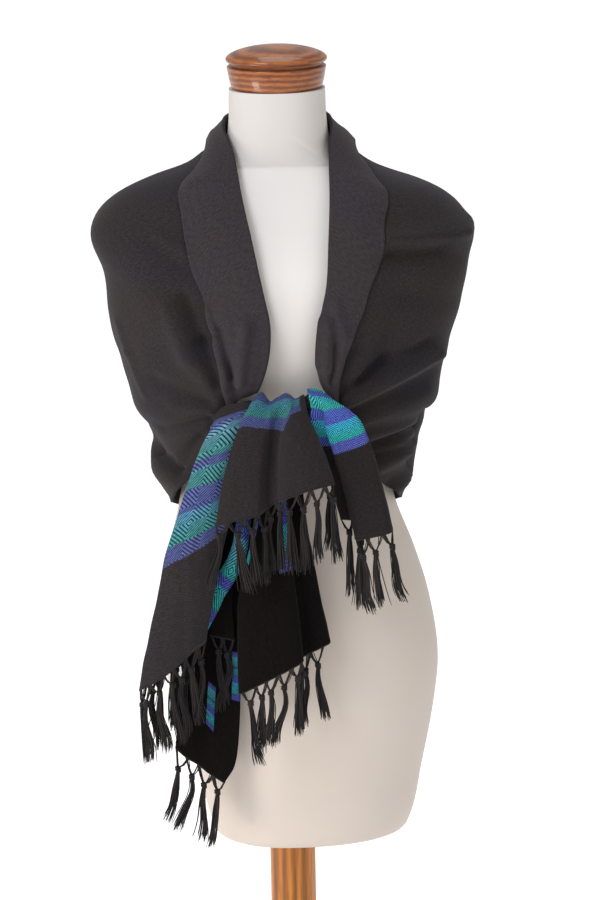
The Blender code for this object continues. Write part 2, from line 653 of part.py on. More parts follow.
def collar(wrap, normal, parent, material):
    """The upper edge turned back over the wrap: its points are the wrap's, moved out."""
    rows = 5
    columns = wrap.shape[1]
    share = np.linspace(0, 1, rows)
    from_back = np.abs(np.linspace(-1, 1, columns))
    width = smooth(from_back, [r.share for r in COLLAR], [r.width for r in COLLAR])[:, 0]
    lines = np.linspace(0, 1, wrap.shape[0])
    grid = np.empty((rows, columns, 3))
    out = np.empty_like(grid)
    for j in range(columns):
        whole = np.linalg.norm(np.diff(wrap[:, j], axis=0), axis=1).sum()
        reach = share * min(width[j] / whole, COLLAR_MOST)
        grid[:, j] = smooth(reach, lines, wrap[:, j])
        out[:, j] = smooth(reach, lines, normal[:, j])
    out /= np.linalg.norm(out, axis=2, keepdims=True)
    at_neck = np.clip(1 - from_back / 0.62, 0, 1) ** 0.5
    roll = np.sin(math.pi * share)[:, None] * (0.0020 + 0.0060 * at_neck)[None, :]
    over_gathers = COLLAR_EASE * np.clip((from_back - 0.7) / 0.2, 0, 1)
    lift = CLOTH + COLLAR_GAP + roll + over_gathers[None, :]
    trim = slice(1, columns - 1)
    return sheet(
        "collar", (grid + out * lift[..., None])[:, trim], material, parent, away_from_axis
    )


def panel(drops, creases, per_drop=2, per_crease=2):
    """A hanging panel's front face, from its levels and its folds across."""
    down = (len(drops) - 1) * per_drop + 1
    across = (len(creases) - 1) * per_crease + 1
    left_x, right_x, left_z, right_z, y, depth, opened = through(drops, down).T[:, :, None]
    top, lower, back, crest, hem = through(creases, across).T
    row = np.linspace(0, len(drops) - 1, down)[:, None]
    share = top * (1 - opened) + lower * opened
    raised = crest * np.clip((4.5 - row) / 2.5, 0, 1) + hem * (row / row[-1]) ** 4
    x = left_x + (right_x - left_x) * share
    z = left_z + (right_z - left_z) * share + raised
    return np.stack([x, y + depth * back, z], axis=-1)


def hem_places(points):
    """Places along a hem: its own corners, and both edges of each tassel's root."""
    steps = np.linalg.norm(np.diff(points, axis=0), axis=1)
    reached = np.concatenate([[0], np.cumsum(steps)])

    def at(where):
        return np.stack([np.interp(where, reached, points[:, k]) for k in range(3)], axis=1)

    count = max(2, round(reached[-1] / TASSEL_PITCH))
    middles = (np.arange(count) + 0.5) * reached[-1] / count
    before, here, after = at(middles - TURN_REACH), at(middles), at(middles + TURN_REACH)
    straight = (unit_level(here - before) * unit_level(after - here)).sum(axis=1)
    starts = middles[straight > 0.6] - TASSEL_ROOT / 2
    ends = starts + TASSEL_ROOT
    own = [r for r in reached if np.all((r < starts - 0.001) | (r > ends + 0.001))]
    places = np.sort(np.concatenate([own, starts, ends]))
    return at(places), np.isin(places, starts)


def unit_level(directions):
    """Directions laid level, one long each."""
    level = directions * [1, 1, 0]
    return level / np.maximum(np.linalg.norm(level, axis=1, keepdims=True), 1e-9)


def fringe(name, hem, parent, material, drop=FRINGE_DROP):
    """A strip just under the hem with the knotted tassels that hang from it, one body."""
    strip_gap, strip_height, half = 0.0009, 0.0030, CLOTH / 2
    line, has_tassel = hem_places(hem)
    tangent = unit_level(np.gradient(line, axis=0))
    normal = np.cross(tangent, [0, 0, 1.0])
    body = bmesh.new()
    corners = []
    for place, n in zip(line, normal):
        quad = []
        for level, side in ((0, 1), (0, -1), (1, -1), (1, 1)):
            z = -strip_gap - level * strip_height
            quad.append(body.verts.new(place + n * side * half + [0, 0, z]))
        corners.append(quad)
    body.faces.new(corners[0][::-1])
    body.faces.new(corners[-1])
    for i in range(len(corners) - 1):
        a, b = corners[i], corners[i + 1]
        for k in (0, 1, 3):
            m = (k + 1) % 4
            body.faces.new((a[k], a[m], b[m], b[k]))
        ring = [a[2], a[3], b[3], b[2]]
        if has_tassel[i]:
            ring = tassel(body, ring, tangent[i], normal[i], drop, i)
        body.faces.new(ring)
    bmesh.ops.recalc_face_normals(body, faces=body.faces)
    mesh = bpy.data.meshes.new(name)
    body.to_mesh(mesh)
    body.free()
    return placed(name, mesh, material, parent)


def tassel(body, root, t, n, drop, turn):
    """A knot and a lock of threads below the strip's face, and its last ring."""
    top = sum((v.co for v in root), Vector()) / 4
    sway = 0.0018 * math.sin(2.4 * turn)
    rings = (
        (0.0055, 0.0026, 0.0024, 0.0),
        (0.0110, 0.0017, 0.0015, 0.0),
        (drop, 0.0033, 0.0022, sway),
    )
    for down, wide, thick, shift in rings:
        centre = np.array(top) + t * shift - [0, 0, down]
        ring = [
            body.verts.new(centre + t * wide * u + n * thick * v)
            for u, v in ((-1, -1), (-1, 1), (1, 1), (1, -1))
        ]
        for k in range(4):
            m = (k + 1) % 4
            body.faces.new((root[k], root[m], ring[m], ring[k]))
        root = ring
    return root


def hanging_end(name, drops, creases, parent, material, per_drop=2, per_crease=2):
    """One panel of a hanging end, with its fringe."""
    grid = panel(drops, creases, per_drop, per_crease)
    cloth = sheet(name, grid, material, parent, forwards)
    inside = normals_of(grid)[-1]
    inside *= np.sign(inside[:, 1].sum())
    fringe(name + "_fringe", grid[-1] + inside * CLOTH / 2, parent, material)
    return cloth


def main():
    """Clears the scene and builds the form, its stand and the shawl."""
    for old in list(bpy.data.objects):
        bpy.data.objects.remove(old)
    carrier = bpy.data.objects.new("torso_bottom", None)
    carrier.location = (0, 0, TORSO_BOTTOM)
    bpy.context.scene.collection.objects.link(carrier)

    cloth = material_named("charcoal_cotton", CHARCOAL, 0.85)
    jersey = material_named("cover_jersey", OFF_WHITE, 0.8)
    cap_wood = material_named("stained_cap_wood", STAINED_WOOD, 0.25)
    pole_wood = material_named("honey_pole_wood", HONEY_WOOD, 0.35)

    torso(carrier, jersey)
    neck_cap(carrier, cap_wood)
    stand(carrier, pole_wood)

    wrap, normal = wrap_surface(20, WRAP_COLUMNS)
    for name, (first, last) in STRETCHES.items():
        sheet(name, stretch_of(wrap, first, last), cloth, carrier, away_from_axis)
    collar(wrap, normal, carrier, cloth)
    knot(carrier, cloth)
    for name, drops, creases in (
        ("short_end_front", SHORT_FRONT_DROPS, SHORT_FRONT_CREASES),
        ("short_end_side", SHORT_SIDE_DROPS, SHORT_SIDE_CREASES),
        ("long_end_strip", LONG_STRIP_DROPS, LONG_STRIP_CREASES),
        ("long_end_front", LONG_FRONT_DROPS, LONG_FRONT_CREASES),
        ("long_end_back", LONG_BACK_DROPS, LONG_BACK_CREASES),
        ("long_end_inner", LONG_INNER_DROPS, LONG_INNER_CREASES),
        ("long_end_tuck", LONG_TUCK_DROPS, LONG_TUCK_CREASES),
    ):
        hanging_end(name, drops, creases, carrier, cloth)


main()
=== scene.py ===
"""A fringed shawl tied round a limbless dress form on a wooden stand: how it looks.

Metres, +Z up, the front of the form faces -Y. Heights in the tables are above the bottom
of the form's torso, and lifted() takes them to the frame that the solids are in.
"""

import math
import random
from collections import namedtuple

import bmesh
import bpy
import numpy as np
from mathutils import Matrix, Vector, noise


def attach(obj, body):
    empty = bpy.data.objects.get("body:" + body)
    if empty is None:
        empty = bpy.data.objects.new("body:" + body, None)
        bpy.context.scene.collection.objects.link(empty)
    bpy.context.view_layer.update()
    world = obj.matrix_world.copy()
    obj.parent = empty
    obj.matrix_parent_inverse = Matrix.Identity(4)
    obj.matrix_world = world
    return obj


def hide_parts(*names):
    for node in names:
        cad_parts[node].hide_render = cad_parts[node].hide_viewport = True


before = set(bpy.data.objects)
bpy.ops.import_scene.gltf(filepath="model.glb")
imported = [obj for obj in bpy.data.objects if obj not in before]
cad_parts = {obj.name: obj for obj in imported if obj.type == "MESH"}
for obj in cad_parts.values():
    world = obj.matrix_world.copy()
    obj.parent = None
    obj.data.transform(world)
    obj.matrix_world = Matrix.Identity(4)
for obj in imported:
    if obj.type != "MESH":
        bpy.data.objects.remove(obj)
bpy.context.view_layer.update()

# Driving sizes

CLOTH = 0.0014  # wall of the shawl's cloth
TORSO_BOTTOM = 0.340  # above the floor
NECK_TOP = 0.853
POLE_RADIUS = 0.026
MERGE = 0.00002  # corners nearer than this are one

# The torso's sections: height, half widths left and right of the neck's axis, and the
# depths in front of it and behind. The hips stand a little to the right of the neck.

Section = namedtuple("Section", "z left right front back")
TORSO = [
    Section(0.000, 0.0830, 0.1240, 0.084, 0.090),
    Section(0.003, 0.0880, 0.1300, 0.090, 0.097),
    Section(0.010, 0.0910, 0.1345, 0.0945, 0.102),
    Section(0.077, 0.1080, 0.1505, 0.105, 0.117),
    Section(0.149, 0.1290, 0.1645, 0.112, 0.126),
    Section(0.205, 0.1430, 0.1700, 0.113, 0.129),
    Section(0.276, 0.1415, 0.1600, 0.110, 0.118),
    Section(0.330, 0.1335, 0.1440, 0.104, 0.101),
    Section(0.384, 0.1205, 0.1240, 0.097, 0.085),
    Section(0.440, 0.1125, 0.1135, 0.093, 0.077),
    Section(0.500, 0.1190, 0.1190, 0.098, 0.082),
    Section(0.560, 0.1320, 0.1320, 0.111, 0.092),
    Section(0.610, 0.1440, 0.1440, 0.119, 0.100),
    Section(0.655, 0.1600, 0.1600, 0.114, 0.105),
    Section(0.690, 0.1750, 0.1760, 0.100, 0.104),
    Section(0.715, 0.1770, 0.1780, 0.086, 0.099),
    Section(0.735, 0.1680, 0.1675, 0.074, 0.094),
    Section(0.749, 0.1421, 0.1415, 0.064, 0.087),
    Section(0.760, 0.1070, 0.1065, 0.057, 0.080),
    Section(0.772, 0.0740, 0.0750, 0.051, 0.071),
    Section(0.787, 0.0605, 0.0605, 0.049, 0.064),
    Section(0.806, 0.0555, 0.0555, 0.049, 0.060),
    Section(NECK_TOP, 0.0530, 0.0530, 0.050, 0.056),
]
TORSO_SQUARENESS = 2.25  # 2 is an ellipse
TORSO_SIDES = 112
TORSO_FOOT = [0.0, 0.0012, 0.003]  # heights of the lowest rows of points
TORSO_ROWS = [  # and from, to and how many above them: they stand closest at the neck's seam
    (0.006, 0.762, 130),
    (0.763, 0.835, 73),
    (0.838, NECK_TOP, 5),
]
TORSO_SHARP = 50  # degrees, and more than this is an edge
POLE_ROOM = 0.0006  # round the pole, in the torso's bottom
NECK_SEAM = 0.7675  # the neck has its own piece of jersey
SEAM_TILT = 0.006  # how much higher the seam is in front than at the sides
NECK_DEPTH = 0.055
NECK_PAINTED_SHADE = 0.62  # how far the neck above its seam goes to its painted shade, a darker tone
SHADE_FROM, SHADE_BLEND = 0.005, 0.002  # above the seam's height, and on both sides of that
PAINTED_SHADE_HEIGHTS = 0.80, 1.00  # above the floor: below it the jersey is painted in shade, darker towards the bottom; above it has its own tone

# The jersey at the neck's seam and at the crease beside it: how much it swells or is drawn
# in, as a share of the radius, how far above the line, and how wide

Pucker = namedtuple("Pucker", "share above width")
SEAM_PUCKERS = [Pucker(-0.028, -0.0014, 0.0018), Pucker(0.010, 0.0022, 0.0024)]
CREASE_PUCKERS = [Pucker(0.008, 0.0000, 0.0030), Pucker(-0.008, -0.0055, 0.0035)]

# The crease is a line through x and z that falls to the right, and it fades out from its
# middle

SlantedLine = namedtuple("SlantedLine", "x z slope middle reach")
NECK_CREASE = SlantedLine(0.011, 0.812, 0.76, 0.031, 0.020)

# The turned cap: a tapered base with a rounded shoulder, a groove, and a domed lid

CAP_GAP = 0.0003  # under the base and under the lid
CAP_BASE_HEIGHT = 0.0250
CAP_SHOULDER = 0.0533  # radius to the middle of its rounded edge
CAP_EDGE = 0.0015
CAP_TAPER = [(0.0524, 0.0100), (0.0502, 0.0012), (0.0496, 0)]  # radius and height
GROOVE_RADIUS = 0.0500
GROOVE = 0.0035
LID_RADIUS = 0.0560
LID_FOOT = [(0.0558, 0.0024), (0.0549, 0.0009), (0.0535, 0)]  # radius and height
LID_RIM = 0.0040
DOME = 0.0145
TURNED_SIDES = 128
TURNED_SHARP = 38  # degrees

# The surface that the shawl hangs on: half widths left and right of the axis, and depths

Level = namedtuple("Level", "z left right front back")
DRAPE = [
    Level(0.300, 0.124, 0.126, 0.1220, 0.134),
    Level(0.345, 0.125, 0.127, 0.1210, 0.129),
    Level(0.390, 0.1285, 0.1310, 0.1200, 0.122),
    Level(0.412, 0.1410, 0.1405, 0.1200, 0.118),
    Level(0.434, 0.1465, 0.1420, 0.1200, 0.114),
    Level(0.458, 0.1410, 0.1450, 0.1210, 0.111),
    Level(0.482, 0.1500, 0.1555, 0.1225, 0.109),
    Level(0.508, 0.1635, 0.1700, 0.1250, 0.108),
    Level(0.540, 0.1770, 0.1785, 0.1285, 0.108),
    Level(0.570, 0.1860, 0.1860, 0.1305, 0.110),
    Level(0.610, 0.1930, 0.2000, 0.1305, 0.114),
    Level(0.655, 0.1965, 0.2090, 0.1250, 0.118),
    Level(0.690, 0.2095, 0.2150, 0.1150, 0.117),
    Level(0.708, 0.2075, 0.2070, 0.1060, 0.113),
    Level(0.726, 0.1955, 0.1930, 0.0950, 0.107),
    Level(0.742, 0.1730, 0.1690, 0.0840, 0.100),
    Level(0.755, 0.1420, 0.1310, 0.0740, 0.092),
    Level(0.768, 0.1040, 0.1010, 0.0640, 0.084),
    Level(0.780, 0.0810, 0.0800, 0.0575, 0.076),
    Level(0.795, 0.0650, 0.0650, 0.0550, 0.070),
    Level(0.812, 0.0600, 0.0590, 0.0540, 0.067),
    Level(0.830, 0.0590, 0.0580, 0.0540, 0.066),
]
DRAPE_SQUARENESS = 2.3

# Where the collar's fold line crosses the front, left and right of the axis

FoldPoint = namedtuple("FoldPoint", "z left right")
FOLD_LINE = [
    FoldPoint(0.530, -0.0345, 0.0490),
    FoldPoint(0.550, -0.0255, 0.0430),
    FoldPoint(0.580, -0.0175, 0.0410),
    FoldPoint(0.610, -0.0155, 0.0440),
    FoldPoint(0.650, -0.0225, 0.0520),
    FoldPoint(0.697, -0.0320, 0.0555),
    FoldPoint(0.745, -0.0430, 0.0580),
    FoldPoint(0.790, -0.0510, 0.0575),
]

# The shawl's weft lines from the middle of the back (first) to the knot (last).
# Each runs from the fold line over "upper" and "lower" to the hem. Azimuths are in
# degrees from the middle of the back, and None takes the fold line's place.

Weft = namedtuple("Weft", "top_az top_z upper_az upper_z lower_az lower_z hem_az hem_z")
WEFTS = [
    Weft(0, 0.820, 0, 0.690, 0, 0.500, 0, 0.335),
    Weft(34, 0.820, 29, 0.700, 26, 0.505, 25, 0.338),
    Weft(64, 0.818, 57, 0.718, 51, 0.525, 49, 0.352),
    Weft(92, 0.812, 86, 0.722, 76, 0.540, 72, 0.372),
    Weft(None, 0.782, 110, 0.700, 98, 0.545, 93, 0.388),
    Weft(None, 0.730, 128, 0.660, 114, 0.535, 109, 0.398),
    Weft(None, 0.676, 142, 0.620, 129, 0.525, 123, 0.412),
    Weft(None, 0.622, 154, 0.585, 144, 0.516, 138, 0.435),
    Weft(None, 0.572, 163, 0.555, 157, 0.516, 153, 0.472),
    Weft(None, 0.538, 166, 0.529, 163.5, 0.513, 160, 0.494),
]

# How wide the turned-back collar is, from the middle of the back (0) to the knot (1)

CollarWidth = namedtuple("CollarWidth", "share width")
COLLAR = [
    CollarWidth(0.00, 0.052),
    CollarWidth(0.28, 0.055),
    CollarWidth(0.40, 0.063),
    CollarWidth(0.50, 0.064),
    CollarWidth(0.65, 0.067),
    CollarWidth(0.85, 0.073),
    CollarWidth(1.00, 0.070),
]
COLLAR_MOST = 0.42  # of the way down to the hem, where the cloth is gathered

# Where the collar's free edge crosses the front, out from the axis

CollarEdge = namedtuple("CollarEdge", "z left right")
COLLAR_EDGE = [
    CollarEdge(0.530, 0.060, 0.062),
    CollarEdge(0.545, 0.063, 0.068),
    CollarEdge(0.560, 0.066, 0.075),
    CollarEdge(0.580, 0.069, 0.085),
    CollarEdge(0.610, 0.074, 0.097),
    CollarEdge(0.638, 0.079, 0.100),
    CollarEdge(0.669, 0.087, 0.108),
    CollarEdge(0.690, 0.088, 0.109),
    CollarEdge(0.721, 0.092, 0.110),
    CollarEdge(0.745, 0.096, 0.109),
    CollarEdge(0.770, 0.101, 0.112),
]
COLLAR_WIDEST = 0.085
COLLAR_RUN = 0.13  # where a column of the wrap meets the line further down, COLLAR holds
COLLAR_GAP = 0.0015  # between the collar's edges and the wrap
COLLAR_EASE = 0.0030  # more than that over the gathers
COLLAR_ROLL = 0.0020  # how far the collar's middle rises off the wrap
NECK_ROLL = 0.0060  # and how much more behind the neck
EDGE_OFF = 0.0070  # how far its free edge stands off over the shoulder
FOLD_OVER = 0.0010  # how far the folded edge stands above the wrap's, past its own radius

# Shares of the way from the middle of the back (0) to the knot (1)

EDGE_FROM, EDGE_WHOLE = 0.10, 0.22  # where COLLAR_EDGE takes over from COLLAR
EASE_FROM, EASE_WHOLE = 0.70, 0.90  # where COLLAR_EASE sets in
ROLL_ENDS = 0.62  # where NECK_ROLL has died out
SHOULDER, SHOULDER_REACH = 0.27, 0.10  # the middle of EDGE_OFF and how far it reaches

# The wrap's largest folds, as lines seen from the front or the back: where each starts
# and ends, how far it stands out (or in), and how wide it is at both ends

Fold = namedtuple("Fold", "face x0 z0 x1 z1 height width0 width1")
FRONT, BACK = -1, 1
FOLDS = [
    Fold(FRONT, -0.052, 0.545, -0.088, 0.625, -0.0055, 0.006, 0.012),
    Fold(FRONT, -0.070, 0.535, -0.150, 0.665, 0.0080, 0.012, 0.034),
    Fold(FRONT, -0.075, 0.515, -0.165, 0.500, 0.0060, 0.010, 0.022),
    Fold(FRONT, -0.128, 0.452, -0.154, 0.452, -0.0070, 0.006, 0.008),
    Fold(FRONT, -0.110, 0.425, -0.155, 0.430, 0.0050, 0.012, 0.012),
    Fold(FRONT, 0.098, 0.560, 0.138, 0.640, -0.0060, 0.012, 0.018),
    Fold(FRONT, 0.072, 0.526, 0.168, 0.564, 0.0120, 0.008, 0.010),
    Fold(FRONT, 0.118, 0.700, 0.215, 0.703, 0.0050, 0.009, 0.010),
    Fold(FRONT, 0.110, 0.680, 0.200, 0.672, -0.0040, 0.010, 0.012),
    Fold(FRONT, 0.078, 0.500, 0.160, 0.512, 0.0060, 0.009, 0.012),
    Fold(FRONT, 0.095, 0.462, 0.152, 0.478, -0.0075, 0.007, 0.007),
    Fold(FRONT, 0.095, 0.440, 0.150, 0.452, 0.0060, 0.009, 0.009),
    Fold(FRONT, 0.105, 0.418, 0.148, 0.428, -0.0050, 0.007, 0.007),
    Fold(BACK, -0.165, 0.665, -0.060, 0.430, 0.0085, 0.020, 0.030),
    Fold(BACK, 0.165, 0.660, 0.045, 0.440, 0.0085, 0.020, 0.030),
    Fold(BACK, -0.120, 0.560, -0.020, 0.360, -0.0060, 0.018, 0.026),
    Fold(BACK, 0.125, 0.545, 0.015, 0.370, -0.0060, 0.018, 0.026),
    Fold(BACK, -0.075, 0.770, 0.075, 0.770, 0.0045, 0.016, 0.016),
    Fold(BACK, -0.150, 0.470, -0.095, 0.350, 0.0080, 0.018, 0.022),
    Fold(BACK, 0.150, 0.470, 0.090, 0.350, 0.0080, 0.018, 0.022),
]

# Smaller creases that the cloth shows between its folds, in the same columns as FOLDS

CREASES = [
    Fold(FRONT, -0.105, 0.641, -0.089, 0.592, -0.0085, 0.007, 0.008),
    Fold(FRONT, -0.089, 0.592, -0.072, 0.548, -0.0095, 0.008, 0.006),
    Fold(FRONT, -0.124, 0.632, -0.104, 0.574, 0.0050, 0.009, 0.010),
    Fold(FRONT, -0.134, 0.709, -0.100, 0.688, 0.0030, 0.006, 0.005),
    Fold(FRONT, -0.140, 0.696, -0.108, 0.676, -0.0025, 0.008, 0.008),
    Fold(FRONT, -0.181, 0.605, -0.171, 0.570, 0.0020, 0.004, 0.005),
    Fold(FRONT, -0.171, 0.570, -0.153, 0.524, 0.0022, 0.005, 0.004),
    Fold(FRONT, -0.080, 0.527, -0.140, 0.545, -0.0045, 0.005, 0.009),
    Fold(FRONT, -0.080, 0.518, -0.120, 0.520, 0.0026, 0.004, 0.007),
    Fold(FRONT, -0.082, 0.508, -0.135, 0.485, -0.0055, 0.005, 0.007),
    Fold(FRONT, -0.085, 0.500, -0.125, 0.460, 0.0030, 0.005, 0.008),
    Fold(FRONT, -0.116, 0.443, -0.147, 0.447, -0.0070, 0.003, 0.004),
    Fold(FRONT, -0.090, 0.486, -0.118, 0.440, -0.0030, 0.005, 0.007),
    Fold(FRONT, -0.110, 0.600, -0.180, 0.560, -0.0020, 0.010, 0.014),
    Fold(FRONT, 0.072, 0.545, 0.105, 0.610, 0.0030, 0.005, 0.008),
    Fold(FRONT, 0.117, 0.698, 0.205, 0.694, 0.0070, 0.005, 0.006),
    Fold(FRONT, 0.119, 0.683, 0.175, 0.682, -0.0065, 0.006, 0.007),
    Fold(FRONT, 0.080, 0.532, 0.168, 0.572, 0.0040, 0.003, 0.003),
    Fold(FRONT, 0.086, 0.545, 0.112, 0.566, -0.0105, 0.007, 0.009),
    Fold(FRONT, 0.112, 0.560, 0.160, 0.580, -0.0050, 0.008, 0.006),
    Fold(FRONT, 0.075, 0.515, 0.168, 0.546, -0.0040, 0.005, 0.008),
    Fold(FRONT, 0.085, 0.500, 0.160, 0.522, 0.0030, 0.005, 0.007),
    Fold(FRONT, 0.097, 0.469, 0.145, 0.474, -0.0080, 0.004, 0.004),
    Fold(FRONT, 0.145, 0.474, 0.156, 0.493, -0.0055, 0.004, 0.005),
    Fold(FRONT, 0.095, 0.482, 0.148, 0.486, 0.0035, 0.005, 0.005),
    Fold(FRONT, 0.102, 0.455, 0.148, 0.455, -0.0070, 0.003, 0.004),
    Fold(FRONT, 0.100, 0.430, 0.150, 0.436, -0.0030, 0.004, 0.006),
    Fold(FRONT, 0.110, 0.408, 0.150, 0.414, 0.0030, 0.005, 0.006),
    Fold(FRONT, 0.120, 0.640, 0.190, 0.625, -0.0022, 0.010, 0.012),
    Fold(BACK, -0.120, 0.720, -0.040, 0.660, 0.0024, 0.012, 0.020),
    Fold(BACK, 0.125, 0.715, 0.050, 0.650, 0.0024, 0.012, 0.020),
    Fold(BACK, -0.140, 0.600, -0.055, 0.470, -0.0030, 0.012, 0.018),
    Fold(BACK, 0.145, 0.600, 0.060, 0.480, -0.0030, 0.012, 0.018),
    Fold(BACK, -0.050, 0.560, -0.035, 0.380, 0.0035, 0.014, 0.020),
    Fold(BACK, 0.040, 0.570, 0.045, 0.360, 0.0035, 0.014, 0.020),
    Fold(BACK, -0.080, 0.500, -0.075, 0.345, -0.0028, 0.010, 0.016),
    Fold(BACK, 0.085, 0.500, 0.075, 0.345, -0.0028, 0.010, 0.016),
    Fold(BACK, 0.000, 0.520, 0.005, 0.340, -0.0030, 0.012, 0.018),
]

# Creases of the turned-back collar alone, in the same columns too

COLLAR_CREASES = [
    Fold(FRONT, -0.099, 0.685, -0.082, 0.629, 0.0012, 0.004, 0.005),
    Fold(FRONT, -0.080, 0.629, -0.060, 0.556, 0.0050, 0.004, 0.004),
    Fold(FRONT, -0.066, 0.610, -0.052, 0.556, -0.0050, 0.005, 0.004),
    Fold(FRONT, -0.038, 0.612, -0.046, 0.550, 0.0080, 0.006, 0.005),
    Fold(FRONT, 0.058, 0.632, 0.068, 0.595, 0.0040, 0.006, 0.005),
    Fold(FRONT, 0.068, 0.595, 0.056, 0.548, 0.0050, 0.005, 0.004),
    Fold(FRONT, 0.056, 0.590, 0.052, 0.550, -0.0050, 0.004, 0.004),
    Fold(FRONT, 0.049, 0.612, 0.045, 0.566, 0.0080, 0.006, 0.006),
    Fold(FRONT, 0.070, 0.760, 0.110, 0.745, 0.0016, 0.004, 0.006),
    Fold(FRONT, 0.072, 0.742, 0.112, 0.728, 0.0016, 0.004, 0.006),
    Fold(FRONT, -0.070, 0.765, -0.098, 0.752, 0.0020, 0.004, 0.005),
]

GATHERS = 4  # pleats that run into the knot on each side
GATHER_HEIGHT = 0.0045
GATHER_REACH = 0.34  # share of each half over which they fade out

# Points of the wrap and collar: rows from the fold line to the hem, round the fold and down
# the collar, and columns from the middle of the back to each knot

WRAP_ROWS, FOLD_ROWS, COLLAR_ROWS = 92, 5, 30
WRAP_COLUMNS = 130
EVENED = 4  # columns on each side over which the collar's width is smoothed
CLOTH_START = 0.5  # the cloth coordinate in the middle of the back

# Soft uneven swells of the cloth: how high, how wide, and how squat beside that

Swell = namedtuple("Swell", "height size squat")
WRAP_SWELL = Swell(0.0011, 0.045, 0.6)
COLLAR_SWELL = Swell(0.0007, 0.030, 1)
PANEL_SWELLS = [Swell(0.0008, 0.009, 0.25), Swell(0.0010, 0.028, 0.5)]
SWELLS_FULL = 0.25  # share of a panel's drop over which they set in
FACE_TURN = 0.015  # a fold of one face fades out this far past the middle of the side

# The knot: the bundle that both ends of the shawl pass through

KnotRing = namedtuple("KnotRing", "x y z depth height")
KNOT = [
    KnotRing(-0.0540, -0.1250, 0.5215, 0.0012, 0.0020),
    KnotRing(-0.0505, -0.1280, 0.5205, 0.0035, 0.0050),
    KnotRing(-0.0420, -0.1330, 0.5195, 0.0080, 0.0090),
    KnotRing(-0.0335, -0.1350, 0.5185, 0.0100, 0.0115),
    KnotRing(-0.0240, -0.1350, 0.5170, 0.0108, 0.0130),
    KnotRing(-0.0145, -0.1350, 0.5150, 0.0108, 0.0108),
    KnotRing(0.0000, -0.1350, 0.5175, 0.0112, 0.0145),
    KnotRing(0.0130, -0.1350, 0.5160, 0.0110, 0.0125),
    KnotRing(0.0240, -0.1350, 0.5180, 0.0105, 0.0145),
    KnotRing(0.0305, -0.1350, 0.5230, 0.0100, 0.0167),
    KnotRing(0.0370, -0.1345, 0.5245, 0.0080, 0.0145),
    KnotRing(0.0440, -0.1310, 0.5250, 0.0050, 0.0085),
    KnotRing(0.0490, -0.1270, 0.5250, 0.0030, 0.0050),
    KnotRing(0.0518, -0.1246, 0.5245, 0.0012, 0.0020),
]
KNOT_RINGS, KNOT_SIDES = 90, 72
KNOT_PLEATS = 9
KNOT_PLEAT = 0.10  # of the knot's radius
KNOT_TWIST = 14 / 0.05  # radians that the pleats turn in each metre of the knot's length
KNOT_PLACE = 0.4  # from the hem

# The hanging ends. Each panel that shows has its levels, from the knot to the hem, with
# the heights and places of its left and right edges and how deep its folds are there.
# Its folds follow in order across the cloth: the share of the way from the left edge to
# the right at the knot and where they have opened, the share of the depth behind the
# panel's front, and how far the cloth there is raised over the knot and at the hem.

Drop = namedtuple("Drop", "left_x right_x left_z right_z y depth open")
Crease = namedtuple("Crease", "top across back crest hem", defaults=(0, 0))
FINE_DROP, FINE_CREASE = 13, 11  # rows between two levels, columns between two folds
CREST_WHOLE, CREST_ENDS = 2.0, 4.5  # levels between which a raised crest fades out
HEM_POWER = 4  # how late a raised hem sets in

SHORT_FRONT_DROPS = [
    Drop(-0.0250, 0.0200, 0.5170, 0.5170, -0.1188, 0.0006, 0),
    Drop(-0.0270, 0.0215, 0.5320, 0.5320, -0.1218, 0.0008, 0),
    Drop(-0.0290, 0.0230, 0.5390, 0.5380, -0.1360, 0.0012, 0),
    Drop(-0.0370, 0.0260, 0.5300, 0.5300, -0.1570, 0.0045, 0.1),
    Drop(-0.0490, 0.0345, 0.5060, 0.5070, -0.1680, 0.0105, 0.75),
    Drop(-0.0640, 0.0450, 0.4620, 0.4790, -0.1800, 0.0160, 1),
    Drop(-0.0755, 0.0545, 0.4040, 0.4500, -0.1900, 0.0150, 1),
]
SHORT_FRONT_CREASES = [
    Crease(0.00, 0.00, 0.40, -0.003, 0.000),
    Crease(0.12, 0.08, 0.12, 0.000, 0.000),
    Crease(0.28, 0.24, 0.00, -0.010, -0.002),
    Crease(0.42, 0.36, 0.15, -0.006, -0.005),
    Crease(0.55, 0.45, 0.95, -0.001, -0.003),
    Crease(0.64, 0.51, 0.70, 0.000, 0.001),
    Crease(0.73, 0.59, -0.20, -0.002, 0.004),
    Crease(0.81, 0.79, -0.40, -0.006, 0.004),
    Crease(0.89, 0.97, 0.05, -0.005, 0.000),
    Crease(0.95, 0.99, 0.65, -0.003, -0.002),
    Crease(1.00, 0.90, 1.10, -0.002, 0.002),
]
SHORT_SIDE_DROPS = [
    Drop(0.0275, 0.0400, 0.5170, 0.5170, -0.1188, 0.0006, 0),
    Drop(0.0270, 0.0410, 0.5330, 0.5325, -0.1218, 0.0008, 0),
    Drop(0.0265, 0.0430, 0.5430, 0.5400, -0.1360, 0.0010, 0),
    Drop(0.0285, 0.0600, 0.5360, 0.5290, -0.1520, 0.0025, 0),
    Drop(0.0345, 0.0755, 0.5200, 0.5190, -0.1580, 0.0060, 0.3),
    Drop(0.0425, 0.0870, 0.5000, 0.5030, -0.1610, 0.0095, 0.8),
    Drop(0.0610, 0.1040, 0.4427, 0.4500, -0.1670, 0.0130, 1),
    Drop(0.0745, 0.1170, 0.3819, 0.3890, -0.1730, 0.0150, 1),
]
